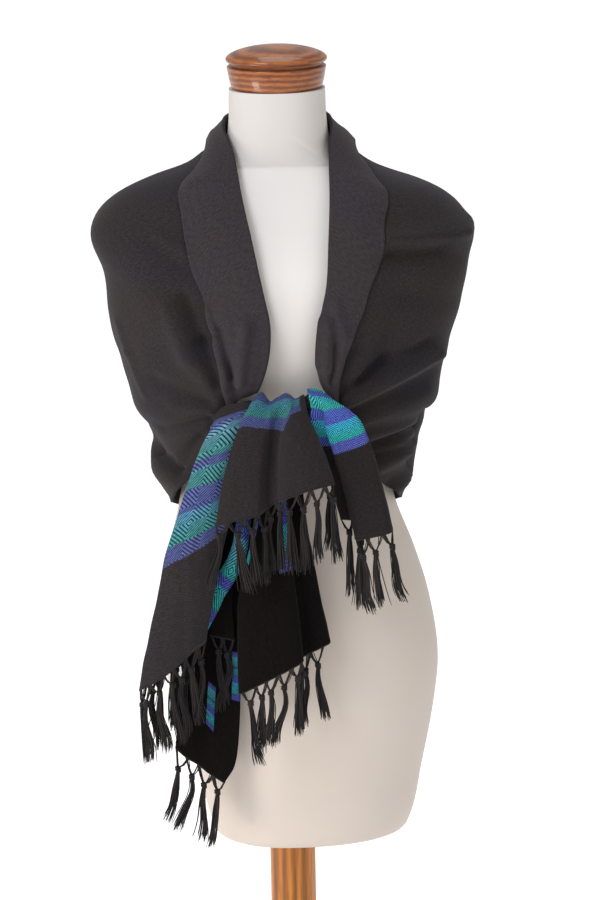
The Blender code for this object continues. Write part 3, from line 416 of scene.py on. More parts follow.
SHORT_SIDE_CREASES = [
    Crease(0.00, -0.34, 1.20, 0.000, 0.022),
    Crease(0.08, -0.05, 1.35, 0.000, 0.018),
    Crease(0.16, 0.24, 1.20, 0.000, 0.010),
    Crease(0.24, 0.20, 0.80, 0.000, 0.006),
    Crease(0.32, 0.02, 0.45, 0.001, 0.002),
    Crease(0.42, 0.08, 0.08, 0.001, 0.000),
    Crease(0.56, 0.35, -0.05, 0.002, 0.000),
    Crease(0.72, 0.70, 0.00, 0.001, 0.000),
    Crease(0.87, 0.94, 0.18, 0.000, 0.001),
    Crease(1.00, 1.00, 0.55, 0.000, 0.003),
]
LONG_STRIP_DROPS = [
    Drop(-0.0430, -0.0120, 0.5320, 0.5230, -0.1480, 0.0008, 0),
    Drop(-0.0680, -0.0200, 0.5250, 0.5130, -0.1514, 0.0035, 0),
    Drop(-0.0870, -0.0300, 0.5050, 0.4980, -0.1600, 0.0095, 0.3),
    Drop(-0.1010, -0.0450, 0.4615, 0.4577, -0.1680, 0.0140, 0.85),
    Drop(-0.1280, -0.0660, 0.3749, 0.3790, -0.1710, 0.0180, 1),
    Drop(-0.1480, -0.0800, 0.2900, 0.3180, -0.1700, 0.0200, 1),
    Drop(-0.1650, -0.0897, 0.2129, 0.2631, -0.1670, 0.0210, 1),
]
LONG_STRIP_CREASES = [
    Crease(0.00, 0.55, 1.10, 0.000, 0.012),
    Crease(0.10, 0.22, 1.00, 0.000, 0.004),
    Crease(0.19, 0.03, 0.75, 0.000, 0.000),
    Crease(0.28, 0.00, 0.35, 0.000, 0.000),
    Crease(0.37, 0.13, 0.08, 0.000, 0.000),
    Crease(0.50, 0.38, 0.00, 0.000, -0.002),
    Crease(0.64, 0.64, 0.20, 0.000, 0.000),
    Crease(0.77, 0.82, 0.45, 0.000, 0.002),
    Crease(0.89, 0.94, 0.75, 0.000, 0.000),
    Crease(1.00, 1.00, 1.00, 0.000, 0.000),
]
LONG_FRONT_DROPS = [
    Drop(-0.0230, 0.0180, 0.5028, 0.5028, -0.1390, 0.0010, 0),
    Drop(-0.0260, 0.0190, 0.4600, 0.4600, -0.1440, 0.0060, 0.2),
    Drop(-0.0331, 0.0225, 0.4005, 0.3980, -0.1520, 0.0130, 0.7),
    Drop(-0.0511, 0.0343, 0.3245, 0.3256, -0.1620, 0.0210, 1),
    Drop(-0.0550, 0.0420, 0.2640, 0.2880, -0.1680, 0.0250, 1),
    Drop(-0.0559, 0.0473, 0.2075, 0.2593, -0.1710, 0.0260, 1),
]
LONG_FRONT_CREASES = [
    Crease(0.00, 0.03, 0.62),
    Crease(0.08, 0.00, 0.35),
    Crease(0.16, 0.07, 0.08),
    Crease(0.28, 0.30, 0.00),
    Crease(0.41, 0.55, 0.02),
    Crease(0.51, 0.69, 0.16),
    Crease(0.59, 0.71, 0.50),
    Crease(0.67, 0.68, 0.80),
    Crease(0.75, 0.76, 1.02),
    Crease(0.84, 0.88, 0.92),
    Crease(0.93, 0.98, 0.95),
    Crease(1.00, 1.00, 1.20),
]
LONG_BACK_DROPS = [
    Drop(-0.0400, 0.0060, 0.5067, 0.5067, -0.1265, 0.0006, 1),
    Drop(-0.0700, -0.0250, 0.4000, 0.4000, -0.1220, 0.0040, 1),
    Drop(-0.1000, -0.0560, 0.3000, 0.3076, -0.1270, 0.0050, 1),
    Drop(-0.1180, -0.0573, 0.2200, 0.2061, -0.1290, 0.0060, 1),
    Drop(-0.1250, -0.0637, 0.1600, 0.1230, -0.1290, 0.0060, 1),
    Drop(-0.1280, -0.0777, 0.1350, 0.0930, -0.1290, 0.0060, 1),
]
LONG_BACK_CREASES = [
    Crease(0.00, 0.00, 0.60),
    Crease(0.22, 0.22, 0.00),
    Crease(0.45, 0.45, 0.75),
    Crease(0.70, 0.70, 0.10),
    Crease(1.00, 1.00, 0.40),
]
LONG_INNER_DROPS = [
    Drop(-0.0330, -0.0160, 0.5036, 0.5036, -0.1330, 0.0010, 1),
    Drop(-0.0520, -0.0370, 0.4050, 0.4000, -0.1390, 0.0050, 1),
    Drop(-0.0620, -0.0460, 0.3600, 0.3500, -0.1430, 0.0070, 1),
    Drop(-0.0900, -0.0720, 0.3190, 0.3030, -0.1430, 0.0060, 1),
    Drop(-0.1060, -0.0900, 0.2860, 0.2680, -0.1415, 0.0055, 1),
    Drop(-0.1260, -0.1100, 0.2490, 0.2290, -0.1395, 0.0060, 1),
]
LONG_INNER_CREASES = [
    Crease(0.00, 0.00, 1.00),
    Crease(0.20, 0.12, 0.30),
    Crease(0.50, 0.50, 0.00),
    Crease(0.80, 0.88, 0.30),
    Crease(1.00, 1.00, 1.00),
]
LONG_TUCK_DROPS = [
    Drop(-0.0300, -0.0120, 0.5052, 0.5052, -0.1290, 0.0004, 1),
    Drop(-0.0500, -0.0300, 0.4000, 0.4000, -0.1290, 0.0010, 1),
    Drop(-0.0800, -0.0580, 0.3200, 0.3250, -0.1310, 0.0012, 1),
    Drop(-0.0860, -0.0590, 0.2660, 0.2600, -0.1320, 0.0012, 1),
]
LONG_TUCK_CREASES = [
    Crease(0.00, 0.00, 0.80),
    Crease(0.30, 0.30, 0.00),
    Crease(0.65, 0.65, 0.50),
    Crease(1.00, 1.00, 0.10),
]

# The woven band: its stripes in order from the hem, how wide each is, and the weft's
# colour where it starts and ends

Stripe = namedtuple("Stripe", "width start end")
BAND = [
    Stripe(0.012, "#5c69a8", "#5a6cb2"),
    Stripe(0.020, "#38a890", "#4fb2cf"),
    Stripe(0.016, "#5b70b8", "#5873b6"),
    Stripe(0.012, "#3fab92", "#4aaeb4"),
    Stripe(0.006, "#5a6cb0", "#5a6cb0"),
    Stripe(0.022, "#3faa98", "#74bfd6"),
    Stripe(0.012, "#6280bb", "#5a68a8"),
]
BAND_WIDTH = sum(stripe.width for stripe in BAND)
BAND_START = 0.114  # from the hem
BAND_MIDDLE = 0.162  # from the hem, where the third stripe ends
BAND_WARP = "#18223a"  # the dark lines across the band
PLAIN_PLACE = 0.05  # from the hem, where the cloth is plain
GLIMPSE_JUMP = 0.02  # two glimpses of the band meet where the cloth's place jumps more

# Where a hanging stretch shows the band: at a place across it, how far from the hem its
# top is, and the shares of the way down at which the band's middle and its end come

Woven = namedtuple("Woven", "across top middle end")
SHORT_FRONT_WOVEN = [
    Woven(0.00, 0.190, 0.170, 0.435),
    Woven(0.24, 0.186, 0.160, 0.435),
    Woven(0.57, 0.182, 0.150, 0.534),
    Woven(0.62, 0.182, 0.170, 0.420),
    Woven(0.78, 0.180, 0.160, 0.400),
    Woven(0.86, 0.163, 0.010, 0.060),
    Woven(1.00, 0.163, 0.010, 0.040),
]
SHORT_SIDE_WOVEN = [
    Woven(0.00, 0.206, 0.330, 0.565),
    Woven(0.50, 0.206, 0.320, 0.551),
    Woven(1.00, 0.206, 0.310, 0.530),
]
LONG_STRIP_WOVEN = [
    Woven(0.00, 0.247, 0.391, 0.659),
    Woven(1.00, 0.193, 0.260, 0.504),
]
LONG_FRONT_WOVEN = [
    Woven(0.00, 0.163, 0.005, 0.010),
    Woven(0.09, 0.163, 0.005, 0.010),
    Woven(0.10, 0.212, 0.310, 0.590),
    Woven(0.17, 0.212, 0.310, 0.590),
    Woven(0.18, 0.163, 0.005, 0.010),
    Woven(0.33, 0.163, 0.005, 0.010),
    Woven(0.34, 0.212, 0.310, 0.600),
    Woven(0.49, 0.212, 0.310, 0.612),
    Woven(0.50, 0.163, 0.005, 0.010),
    Woven(1.00, 0.163, 0.005, 0.010),
]
LONG_INNER_WOVEN = [
    Woven(0.00, 0.263, 0.750, 0.900),
    Woven(1.00, 0.263, 0.750, 0.900),
]
LONG_BACK_WOVEN = [
    Woven(0.00, 0.163, 0.005, 0.010),
    Woven(0.51, 0.163, 0.005, 0.010),
    Woven(0.52, 0.870, 0.820, 0.880),
    Woven(0.66, 0.870, 0.825, 0.892),
    Woven(0.67, 0.163, 0.005, 0.010),
    Woven(0.86, 0.163, 0.005, 0.010),
    Woven(0.87, 0.770, 0.705, 0.775),
    Woven(1.00, 0.770, 0.700, 0.770),
]
LONG_TUCK_WOVEN = [
    Woven(0.00, 0.163, 0.005, 0.010),
    Woven(1.00, 0.163, 0.005, 0.010),
]
TWILL_REPEAT = 0.023  # from one diamond's middle to the next
TWILL_LINE = 0.0024  # pitch of the diamonds' lines
LINE_FROM, LINE_TO = 0.22, 0.62  # shares of half that pitch between which a line fades
WEFT_SHOWN = 0.45  # the least of the weft that shows between the lines of plain cloth
STRIPE_BLEND = 0.0006  # over which two stripes run into each other
BAND_EDGE = 0.0008  # over which the band sets in

# The cloth's grain, in marks to a metre across and along: bars of unevenly taken dye, flecks
# of thick and thin yarn, drifts of the hue, and fuzz

DYE_BARS = (12, 420, 1)
YARN_FLECKS = (300, 520, 1)
DRIFT = 9.0
FUZZ = 850.0

# Copies of the one cloth with painted light and shade: the weft's two tones, the warp's two, how
# far they gleam, and the hue, saturation and value that take the band's colours to the light
# there, as painted light and shade

Face = namedtuple("Face", "finish weft warp gleam band", defaults=(None,))
SOOT = ("#1d1b1d", "#201d1d")
CHARCOAL = ("#2a272b", "#2f2928")
FACES = {
    "plain": Face("charcoal_diamond_twill", CHARCOAL, SOOT, 0.12),
    # Painted light: the collar faces up, and its weft and warp are painted lighter than the
    # plain cloth's
    "collar": Face(
        "charcoal_twill_collar", ("#353136", "#383233"), ("#262327", "#2a2627"), 0.14
    ),
    # Painted shade: the short end over the knot has a darker weft and its band painted darker
    "over_knot": Face(
        "charcoal_twill_over_knot", ("#282427", "#2c2625"), SOOT, 0.12, (0.505, 0.92, 0.53)
    ),
    # Painted shade and light: the side end's weft is painted darker, and its band painted
    # brighter and more vivid
    "side_end": Face(
        "charcoal_twill_side_end", ("#242122", "#272221"), SOOT, 0.10, (0.512, 1.06, 1.10)
    ),
    # Painted shade: the long end's strip has its band painted darker and greyer
    "front_fold": Face("charcoal_twill_front_fold", CHARCOAL, SOOT, 0.14, (0.51, 0.90, 0.63)),
    # Painted shade: the long end's stretches hang in shade, and this copy of the cloth is
    # painted near black for it, with its band darkened
    "reverse": Face(
        "black_twill_reverse", ("#0f0c0c", "#120e0d"), ("#0a0808", "#0c0909"), 0.05,
        (0.515, 1.05, 0.72),
    ),
}

# The hanging stretches in the order in which they lie: how far the weave is drawn together
# across, which way the tassels swing, the flat size of what shows, and how far the right
# edge is spread

Stretch = namedtuple(
    "Stretch", "name drops creases woven drawn face swing flat spread", defaults=(0,)
)
STRETCHES = [
    Stretch("short_end_front", SHORT_FRONT_DROPS, SHORT_FRONT_CREASES, SHORT_FRONT_WOVEN,
            0.90, "over_knot", 0.000, (0.103, 0.161)),
    Stretch("short_end_side", SHORT_SIDE_DROPS, SHORT_SIDE_CREASES, SHORT_SIDE_WOVEN,
            0.90, "side_end", 0.002, (0.062, 0.208)),
    Stretch("long_end_strip", LONG_STRIP_DROPS, LONG_STRIP_CREASES, LONG_STRIP_WOVEN,
            0.66, "front_fold", 0.000, (0.091, 0.321)),
    Stretch("long_end_front", LONG_FRONT_DROPS, LONG_FRONT_CREASES, LONG_FRONT_WOVEN,
            1.00, "reverse", 0.001, (0.090, 0.269)),
    Stretch("long_end_back", LONG_BACK_DROPS, LONG_BACK_CREASES, LONG_BACK_WOVEN,
            1.00, "reverse", -0.008, (0.052, 0.403), 0.004),
    Stretch("long_end_inner", LONG_INNER_DROPS, LONG_INNER_CREASES, LONG_INNER_WOVEN,
            0.80, "reverse", -0.003, (0.024, 0.285)),
    Stretch("long_end_tuck", LONG_TUCK_DROPS, LONG_TUCK_CREASES, LONG_TUCK_WOVEN,
            1.00, "reverse", 0.000, (0.020, 0.250)),
]

# The fringe: in each tassel two gathered legs run from the hem to a knot, and loose strands
# hang from it

TASSEL_PITCH = 0.0155  # along the hem
TURN_REACH = 0.006  # the tassels are left out where the hem turns within this
TURN_LEAST = 0.6  # cosine of the most that it may turn
FRINGE_DROP = 0.078  # from hem to the tassels' ends
HEM_CORD = 0.0010  # radius of the close threads under the hem
LEG_THREADS, LEG_THREAD = 9, 0.00055  # in each leg, and their radius
LEG_FOOT = (0.44, 0.66)  # how far from the knot's place a leg starts, in pitches
LEG_SPREAD = 0.10  # of its threads there, in pitches
LEG_WAIST, LEG_SAG = 0.55, 0.0012  # the share of the way at which it bows, and how far down
LEG_WIDE, LEG_DEEP = 0.0011, 0.0009  # half the leg's width and depth at its waist
LEG_END = 0.0012  # half its width at the knot
TUCKED = 0.001  # how far its threads reach into the hem and the knot
KNOT_DROP = 0.0145  # from the hem to the knot, at least
KNOT_DROP_MORE = 0.0055  # and how much more at most
KNOT_SHIFT = 0.0024  # how far a knot may stand to the side
SWAY, LEAN, BEND = 0.0060, 0.0018, 0.0016  # of the strands: sideways, outwards, and as a bow
WINDING, WINDING_TURNS = 0.0015, 2.2  # radius of the cord that is wound as the knot
WOUND_WIDE, WOUND_DEEP = 0.0023, 0.0020  # half widths of the winding, to the cord's middle
WOUND_TOP, WOUND_HEIGHT = 0.0022, 0.0052  # above the knot's middle, and down from there
WOUND_TILT = 0.0010
KNOT_CORE = [(0.0034, 0.0014), (0.0, 0.0030), (-0.0042, 0.0022)]  # height and radius
STRANDS = 32
STRAND_RADII = [0.00062] * 6 + [0.00058, 0.0005, 0.00028]
STRAND_TOP = 0.0030  # below the knot's middle
KNOT_SHARE = 0.0165  # of the fringe's drop, above the strands
BRUSH_TOP, BRUSH_MORE = 0.0020, 0.0042  # half the brush's width, and how much more at its end
BRUSH_DEEP = 0.0034  # the most of half its depth
STRAYS, STRAY_MORE = 0.10, (0.6, 1.8)  # the share that strays, and how much wider
WOBBLE = 0.0006

WAVE_PITCH = 0.314  # m from one band of the wave texture to the next, at a scale of 1

# The camera stands where the photograph was taken from, above the torso's bottom

CAMERA_PLACE = (0.0175, -4.2, 1.433)
CAMERA_LENS = 153.28  # mm, on a sensor 36 mm wide
CAMERA_DIP = 13.27  # degrees below level
CAMERA_ROLL = -1.15

Light = namedtuple("Light", "name place target size power colour")
LIGHTS = [
    Light("key", (-1.7, -2.3, 2.9), (0, 0, 1.1), 1.5, 57, "#f4f6ff"),
    Light("fill", (2.4, -2.6, 2.0), (0, 0, 0.9), 1.6, 9, "#ffeadb"),
    Light("top", (0.1, 0.5, 3.2), (0, 0, 1.0), 1.4, 18, "#ffffff"),
    Light("low_left", (-1.3, -0.9, 0.25), (0, 0, 0.28), 0.5, 8, "#fff2e4"),
]
FLOOR_REACH = 60
FLOOR_CORNERS = [(-1, -1), (1, -1), (1, 1), (-1, 1)]


def smooth(at, places, values):
    """A curve through values at places, which rise, with its slopes from their neighbours."""
    places = np.asarray(places, float)
    values = np.asarray(values, float).reshape(len(places), -1)
    steps = np.diff(places)[:, None]
    rises = np.diff(values, axis=0) / steps
    slopes = np.vstack([rises[:1], (rises[1:] + rises[:-1]) / 2, rises[-1:]])
    at = np.clip(np.atleast_1d(np.asarray(at, float)), places[0], places[-1])
    i = np.clip(np.searchsorted(places, at, side="right") - 1, 0, len(places) - 2)
    h = steps[i]
    t = ((at - places[i]) / h[:, 0])[:, None]
    return (
        values[i] * (1 + 2 * t) * (1 - t) ** 2
        + slopes[i] * h * t * (1 - t) ** 2
        + values[i + 1] * t**2 * (3 - 2 * t)
        + slopes[i + 1] * h * t**2 * (t - 1)
    )


def from_table(at, table):
    """The other columns of a table at these values of its first one."""
    return smooth(at, [row[0] for row in table], [row[1:] for row in table])


def through(rows, samples):
    """Samples evenly spaced by row number on a curve through the rows."""
    rows = np.asarray(rows, float)
    return smooth(np.linspace(0, len(rows) - 1, samples), np.arange(len(rows)), rows)


def rise(values, start, end):
    """0 up to the start and 1 from the end on, straight between them."""
    return np.clip((values - start) / (end - start), 0, 1)


def bell(off, width):
    """A smooth hill, 1 high in the middle."""
    return np.exp(-((off / width) ** 2))


def evened(values, reach):
    """Values smoothed over this many neighbours on each side."""
    weights = np.hanning(2 * reach + 3)[1:-1]
    return np.convolve(np.pad(values, reach, mode="edge"), weights / weights.sum(), "valid")


def path_lengths(points):
    """How far along a path each of its points is."""
    return np.append(0, np.cumsum(np.linalg.norm(np.diff(points, axis=0), axis=1)))


def reached(grid, axis):
    """The distance along the grid's rows or columns, from the first."""
    steps = np.linalg.norm(np.diff(grid, axis=axis), axis=2)
    start = np.zeros_like(np.take(steps, [0], axis=axis))
    return np.concatenate([start, np.cumsum(steps, axis=axis)], axis=axis)


def normals_of(grid):
    """Unit normals of a grid of points, from its neighbours' directions."""
    down = np.gradient(grid, axis=0)
    across = np.gradient(grid, axis=1)
    normal = np.cross(down, across)
    return normal / np.maximum(np.linalg.norm(normal, axis=2, keepdims=True), 1e-12)


def uneven(points, swell, seed):
    """Soft irregular heights, about one swell to its size."""
    shift = Vector((seed * 3.7, seed * 1.3, seed * 2.1))
    flat = (points * [1, 1, swell.squat]).reshape(-1, 3)
    values = [noise.noise(Vector(p / swell.size) + shift) for p in flat]
    return swell.height * np.array(values).reshape(points.shape[:-1])


def fold_lift(grid, table):
    """How far a table's folds lift the cloth at the grid's points."""
    points = grid.reshape(-1, 3)
    lift = np.zeros(len(points))
    for f in table:
        start = np.array([f.x0, f.z0])
        along = np.array([f.x1, f.z1]) - start
        seen = points[:, [0, 2]] - start
        share = np.clip(seen @ along / (along @ along), 0, 1)
        off = np.linalg.norm(seen - share[:, None] * along, axis=1)
        width = f.width0 + (f.width1 - f.width0) * share
        lift += f.height * bell(off, width) * rise(points[:, 1] * f.face, -FACE_TURN, FACE_TURN)
    return lift.reshape(grid.shape[:2])


# Where the cloth and the form lie


def on_section(azimuth, left, right, front, back, squareness):
    """The point of a rounded section at an azimuth in radians from the middle of the back."""
    power = 2 / squareness
    s, c = np.sin(azimuth), np.cos(azimuth)
    x = np.where(s < 0, left, right) * np.sign(s) * np.abs(s) ** power
    y = np.where(c > 0, back, front) * np.sign(c) * np.abs(c) ** power
    return x, y


def on_drape(side, azimuth, z):
    """The point of the surface that the shawl hangs on. side is -1 left and 1 right."""
    x, y = on_section(side * azimuth, *from_table(z, DRAPE).T, DRAPE_SQUARENESS)
    return np.stack([x, y, z], axis=-1)


def fold_line_azimuth(side, z):
    """The azimuth at which the collar's fold line crosses height z on the front."""
    left, right = from_table(z, FOLD_LINE)[0]
    level = from_table(z, DRAPE)[0]
    x, half = (-left, level[0]) if side < 0 else (right, level[1])
    return 180 - math.degrees(math.asin((x / half) ** (DRAPE_SQUARENESS / 2)))


def wrap_side(side):
    """Half of the wrap, from the middle of the back to the knot: rows across the width."""
    lines = []
    for weft in WEFTS:
        top = weft.top_az
        if top is None:
            top = fold_line_azimuth(side, weft.top_z)
        lines.append((top, *weft[1:]))
    on_front = sum(weft.top_az is not None for weft in WEFTS)
    lengthwise = through(lines, WRAP_COLUMNS).reshape(WRAP_COLUMNS, 4, 2)
    grid = np.empty((WRAP_ROWS, WRAP_COLUMNS, 3))
    for j, place in enumerate(np.linspace(0, len(WEFTS) - 1, WRAP_COLUMNS)):
        corners = lengthwise[j]
        if place > on_front:
            corners[0, 0] = fold_line_azimuth(side, corners[0, 1])
        line = through(corners, WRAP_ROWS)
        grid[:, j] = on_drape(side, np.radians(line[:, 0]), line[:, 1])
    return grid


def wrap_surface():
    """The wrap's outer face, from the left knot round the back to the right one."""
    left, right = (wrap_side(side) for side in (-1, 1))
    grid = np.concatenate([left[:, ::-1], right[:, 1:]], axis=1)
    normal = normals_of(grid)
    normal *= np.sign((normal[..., :2] * grid[..., :2]).sum())
    from_back = np.abs(np.linspace(-1, 1, grid.shape[1]))
    gather = rise(from_back, 1 - GATHER_REACH, 1)
    gather = 3 * gather**2 * (1 - gather**2)  # drawn flat again at the knot
    waves = 0.5 - 0.5 * np.cos(2 * math.pi * GATHERS * np.linspace(0, 1, WRAP_ROWS))
    lift = fold_lift(grid, FOLDS) + GATHER_HEIGHT * waves[:, None] * gather
    grid = grid + normal * lift[..., None]
    small = fold_lift(grid, CREASES) + uneven(grid, WRAP_SWELL, 1)
    return grid + normal * small[..., None], normal


def collar_width(column, side, usual):
    """How far down a column of the wrap the collar reaches."""
    run = path_lengths(column)
    edge = from_table(column[:, 2], COLLAR_EDGE)
    off = side * column[:, 0] - edge[:, 0 if side < 0 else 1]
    k = int(np.argmax(off > 0))
    if k == 0 or run[k] > COLLAR_RUN:
        return min(usual, COLLAR_MOST * run[-1])
    crossing = off[k - 1] / (off[k - 1] - off[k])
    return min(run[k - 1] + (run[k] - run[k - 1]) * crossing, COLLAR_WIDEST)


def collar_widths(wrap, from_back):
    """The collar's width at each of the wrap's columns."""
    width = from_table(from_back, COLLAR)[:, 0]
    columns = wrap.shape[1]
    ahead = [
        collar_width(wrap[:, j], 1 if j > columns // 2 else -1, width[j]) for j in range(columns)
    ]
    width += (np.array(ahead) - width) * rise(from_back, EDGE_FROM, EDGE_WHOLE)
    return evened(width, EVENED)


def collar_lift(under, from_back, share):
    """How far the collar lies off the wrap under it. share is 0 at the fold, 1 at its edge."""
    rolled = COLLAR_ROLL + NECK_ROLL * np.clip(1 - from_back / ROLL_ENDS, 0, 1) ** 0.5
    eased = COLLAR_EASE * rise(from_back, EASE_FROM, EASE_WHOLE)
    edge_off = EDGE_OFF * bell(from_back - SHOULDER, SHOULDER_REACH)
    lift = COLLAR_GAP + np.sin(math.pi * share) * rolled + eased
    lift = lift + share**2 * (3 - 2 * share) * edge_off
    lift = lift + uneven(under, COLLAR_SWELL, 2) * share
    return lift + fold_lift(under, COLLAR_CREASES)


def turned_collar(wrap, normal):
    """The rows round the fold line and down the collar, from the wrap under them."""
    columns = wrap.shape[1]
    from_back = np.abs(np.linspace(-1, 1, columns))
    width = collar_widths(wrap, from_back)
    share = np.linspace(0, 1, COLLAR_ROWS)
    lines = np.linspace(0, 1, WRAP_ROWS)
    under = np.empty((COLLAR_ROWS, columns, 3))
    out = np.empty_like(under)
    for j in range(columns):
        reach = share * width[j] / path_lengths(wrap[:, j])[-1]
        under[:, j] = smooth(reach, lines, wrap[:, j])
        out[:, j] = smooth(reach, lines, normal[:, j])
    out /= np.linalg.norm(out, axis=2, keepdims=True)
    lift = collar_lift(under, from_back, share[:, None])

    up = wrap[0] - wrap[1]
    up /= np.linalg.norm(up, axis=1, keepdims=True)
    radius = lift[0][:, None] / 2
    middle = wrap[0] + normal[0] * radius
    fold = [
        middle - normal[0] * radius * math.cos(a) + up * (radius + FOLD_OVER) * math.sin(a)
        for a in np.linspace(0, math.pi, FOLD_ROWS + 2)[1:-1]
    ]
    return np.array(fold), under + out * lift[..., None]


def panel(drops, creases, per_drop=2, per_crease=2):
    """A hanging panel's front face, from its levels and its folds across."""
    down = (len(drops) - 1) * per_drop + 1
    across = (len(creases) - 1) * per_crease + 1
    left_x, right_x, left_z, right_z, y, depth, opened = through(drops, down).T[:, :, None]
    top, lower, back, crest, hem = through(creases, across).T
    row = np.linspace(0, len(drops) - 1, down)[:, None]
    share = top * (1 - opened) + lower * opened
    raised = crest * rise(row, CREST_ENDS, CREST_WHOLE) + hem * (row / row[-1]) ** HEM_POWER
    x = left_x + (right_x - left_x) * share
    z = left_z + (right_z - left_z) * share + raised
    return np.stack([x, y + depth * back, z], axis=-1)


def hem_line(grid):
    """The middle of a panel's wall along its hem, where its fringe starts."""
    inside = normals_of(grid)[-1]
    inside *= np.sign(inside[:, 1].sum())
    return grid[-1] + inside * CLOTH / 2


# Meshes


def lifted(points):
    """Points of the tables' frame in the solids' frame."""
    return np.asarray(points, float) + [0, 0, TORSO_BOTTOM]


def put(name, mesh):
    """An object of this mesh that stands with the form."""
    obj = bpy.data.objects.new(name, mesh)
    bpy.context.scene.collection.objects.link(obj)
    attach(obj, "root")
    return obj


def made_of(name, points, quads, uv, material):
    """A smooth piece from its points and quads, with its cloth coordinates in metres."""
    mesh = bpy.data.meshes.new(name)
    mesh.from_pydata(lifted(points).tolist(), [], quads.tolist())
    layer = mesh.uv_layers.new(name="cloth")
    layer.data.foreach_set("uv", uv[quads.ravel()].ravel())
    mesh.shade_smooth()
    mesh.materials.append(material)
    return put(name, mesh)


def gridded(name, grid, uv, material, facing):
    """A smooth open sheet over a grid of points, turned the way that facing says."""
    rows, columns = grid.shape[:2]
    corner = (np.arange(rows - 1)[:, None] * columns + np.arange(columns - 1)).ravel()
    quads = np.stack([corner, corner + columns, corner + columns + 1, corner + 1], axis=1)
    points = grid.reshape(-1, 3)
    if (normals_of(grid).reshape(-1, 3) * facing(points)).sum() < 0:
        quads = quads[:, ::-1]
    return made_of(name, points, quads, uv.reshape(-1, 2), material)


def forwards(points):
    """The outward direction of a hanging panel: towards the front."""
    return np.tile([0.0, -1.0, 0.0], (len(points), 1))


def away_from_axis(points):
    """The outward direction of the wrap and of the form."""
    return points * [1, 1, 0]


def cloth_wall(obj):
    """Gives a sheet the cloth's thickness, behind its outer face."""
    wall = obj.modifiers.new("wall", "SOLIDIFY")
    wall.thickness = CLOTH
    wall.offset = -1
    return obj


# Materials


def linear(code):
    """An sRGB hex colour as linear red, green, blue and alpha."""
    parts = [int(code[i : i + 2], 16) / 255 for i in (1, 3, 5)]
    return (*(p / 12.92 if p <= 0.04045 else ((p + 0.055) / 1.055) ** 2.4 for p in parts), 1)


def node(tree, kind, inputs=(), stops=(), **settings):
    """Adds a node: its settings, a ramp's (place, colour) stops, and its inputs or links."""
    made = tree.nodes.new(kind)
    for name, value in settings.items():
        setattr(made, name, value)
    for i, (place, colour) in enumerate(stops):
        elements = made.color_ramp.elements
        stop = elements[i] if i < 2 else elements.new(place)
        stop.position = place
        stop.color = linear(colour)
    for name, value in dict(inputs).items():
        if isinstance(value, bpy.types.NodeSocket):
            tree.links.new(value, made.inputs[name])
        else:
            made.inputs[name].default_value = value
    return made


def finish_named(name, **values):
    """A material and its tree, with constant values set on the shader's own sockets."""
    material = bpy.data.materials.new(name)
    material.use_nodes = True
    shader = material.node_tree.nodes["Principled BSDF"]
    for socket, value in values.items():
        shader.inputs[socket.replace("_", " ")].default_value = value
    return material, material.node_tree, shader


def band_stops():
    """The band's colours from its hem side on, as shares of its width."""
    stops = []
    so_far = 0.0
    for stripe in BAND:
        stops.append(((so_far + STRIPE_BLEND) / BAND_WIDTH, stripe.start))
        so_far += stripe.width
        stops.append(((so_far - STRIPE_BLEND) / BAND_WIDTH, stripe.end))
    return stops


def with_band(tree, from_hem, band_painted_light, lines, dyed, warp, shown):
    """Puts the band's coloured weft, its dark warp and its lines over the plain cloth's."""
    end = BAND_START + BAND_WIDTH
    share = node(tree, "ShaderNodeMapRange", {0: from_hem, 1: BAND_START, 2: end}).outputs[0]
    striped = node(tree, "ShaderNodeValToRGB", {0: share}, band_stops()).outputs[0]
    below = {0: from_hem, 1: BAND_START - BAND_EDGE, 2: BAND_START + BAND_EDGE}
    above = {0: from_hem, 1: end - BAND_EDGE, 2: end + BAND_EDGE, 3: 1.0, 4: 0.0}
    sides = [node(tree, "ShaderNodeMapRange", side).outputs[0] for side in (below, above)]
    inside = node(
        tree, "ShaderNodeMath", {0: sides[0], 1: sides[1]}, operation="MULTIPLY"
    ).outputs[0]
    # The band's hue, saturation and value for this copy of the cloth: painted light and shade
    hue, saturation, value = band_painted_light
    lit = node(
        tree,
        "ShaderNodeHueSaturation",
        {"Hue": hue, "Saturation": saturation, "Value": value, "Color": striped},
    ).outputs[0]
    dyed = node(tree, "ShaderNodeMix", {0: inside, 6: dyed, 7: lit}, data_type="RGBA")
    shown = node(tree, "ShaderNodeMix", {0: inside, 2: shown, 3: lines})
    warp = node(
        tree, "ShaderNodeMix", {0: inside, 6: warp, 7: linear(BAND_WARP)}, data_type="RGBA"
    )
    return dyed.outputs[2], warp.outputs[2], shown.outputs[0]


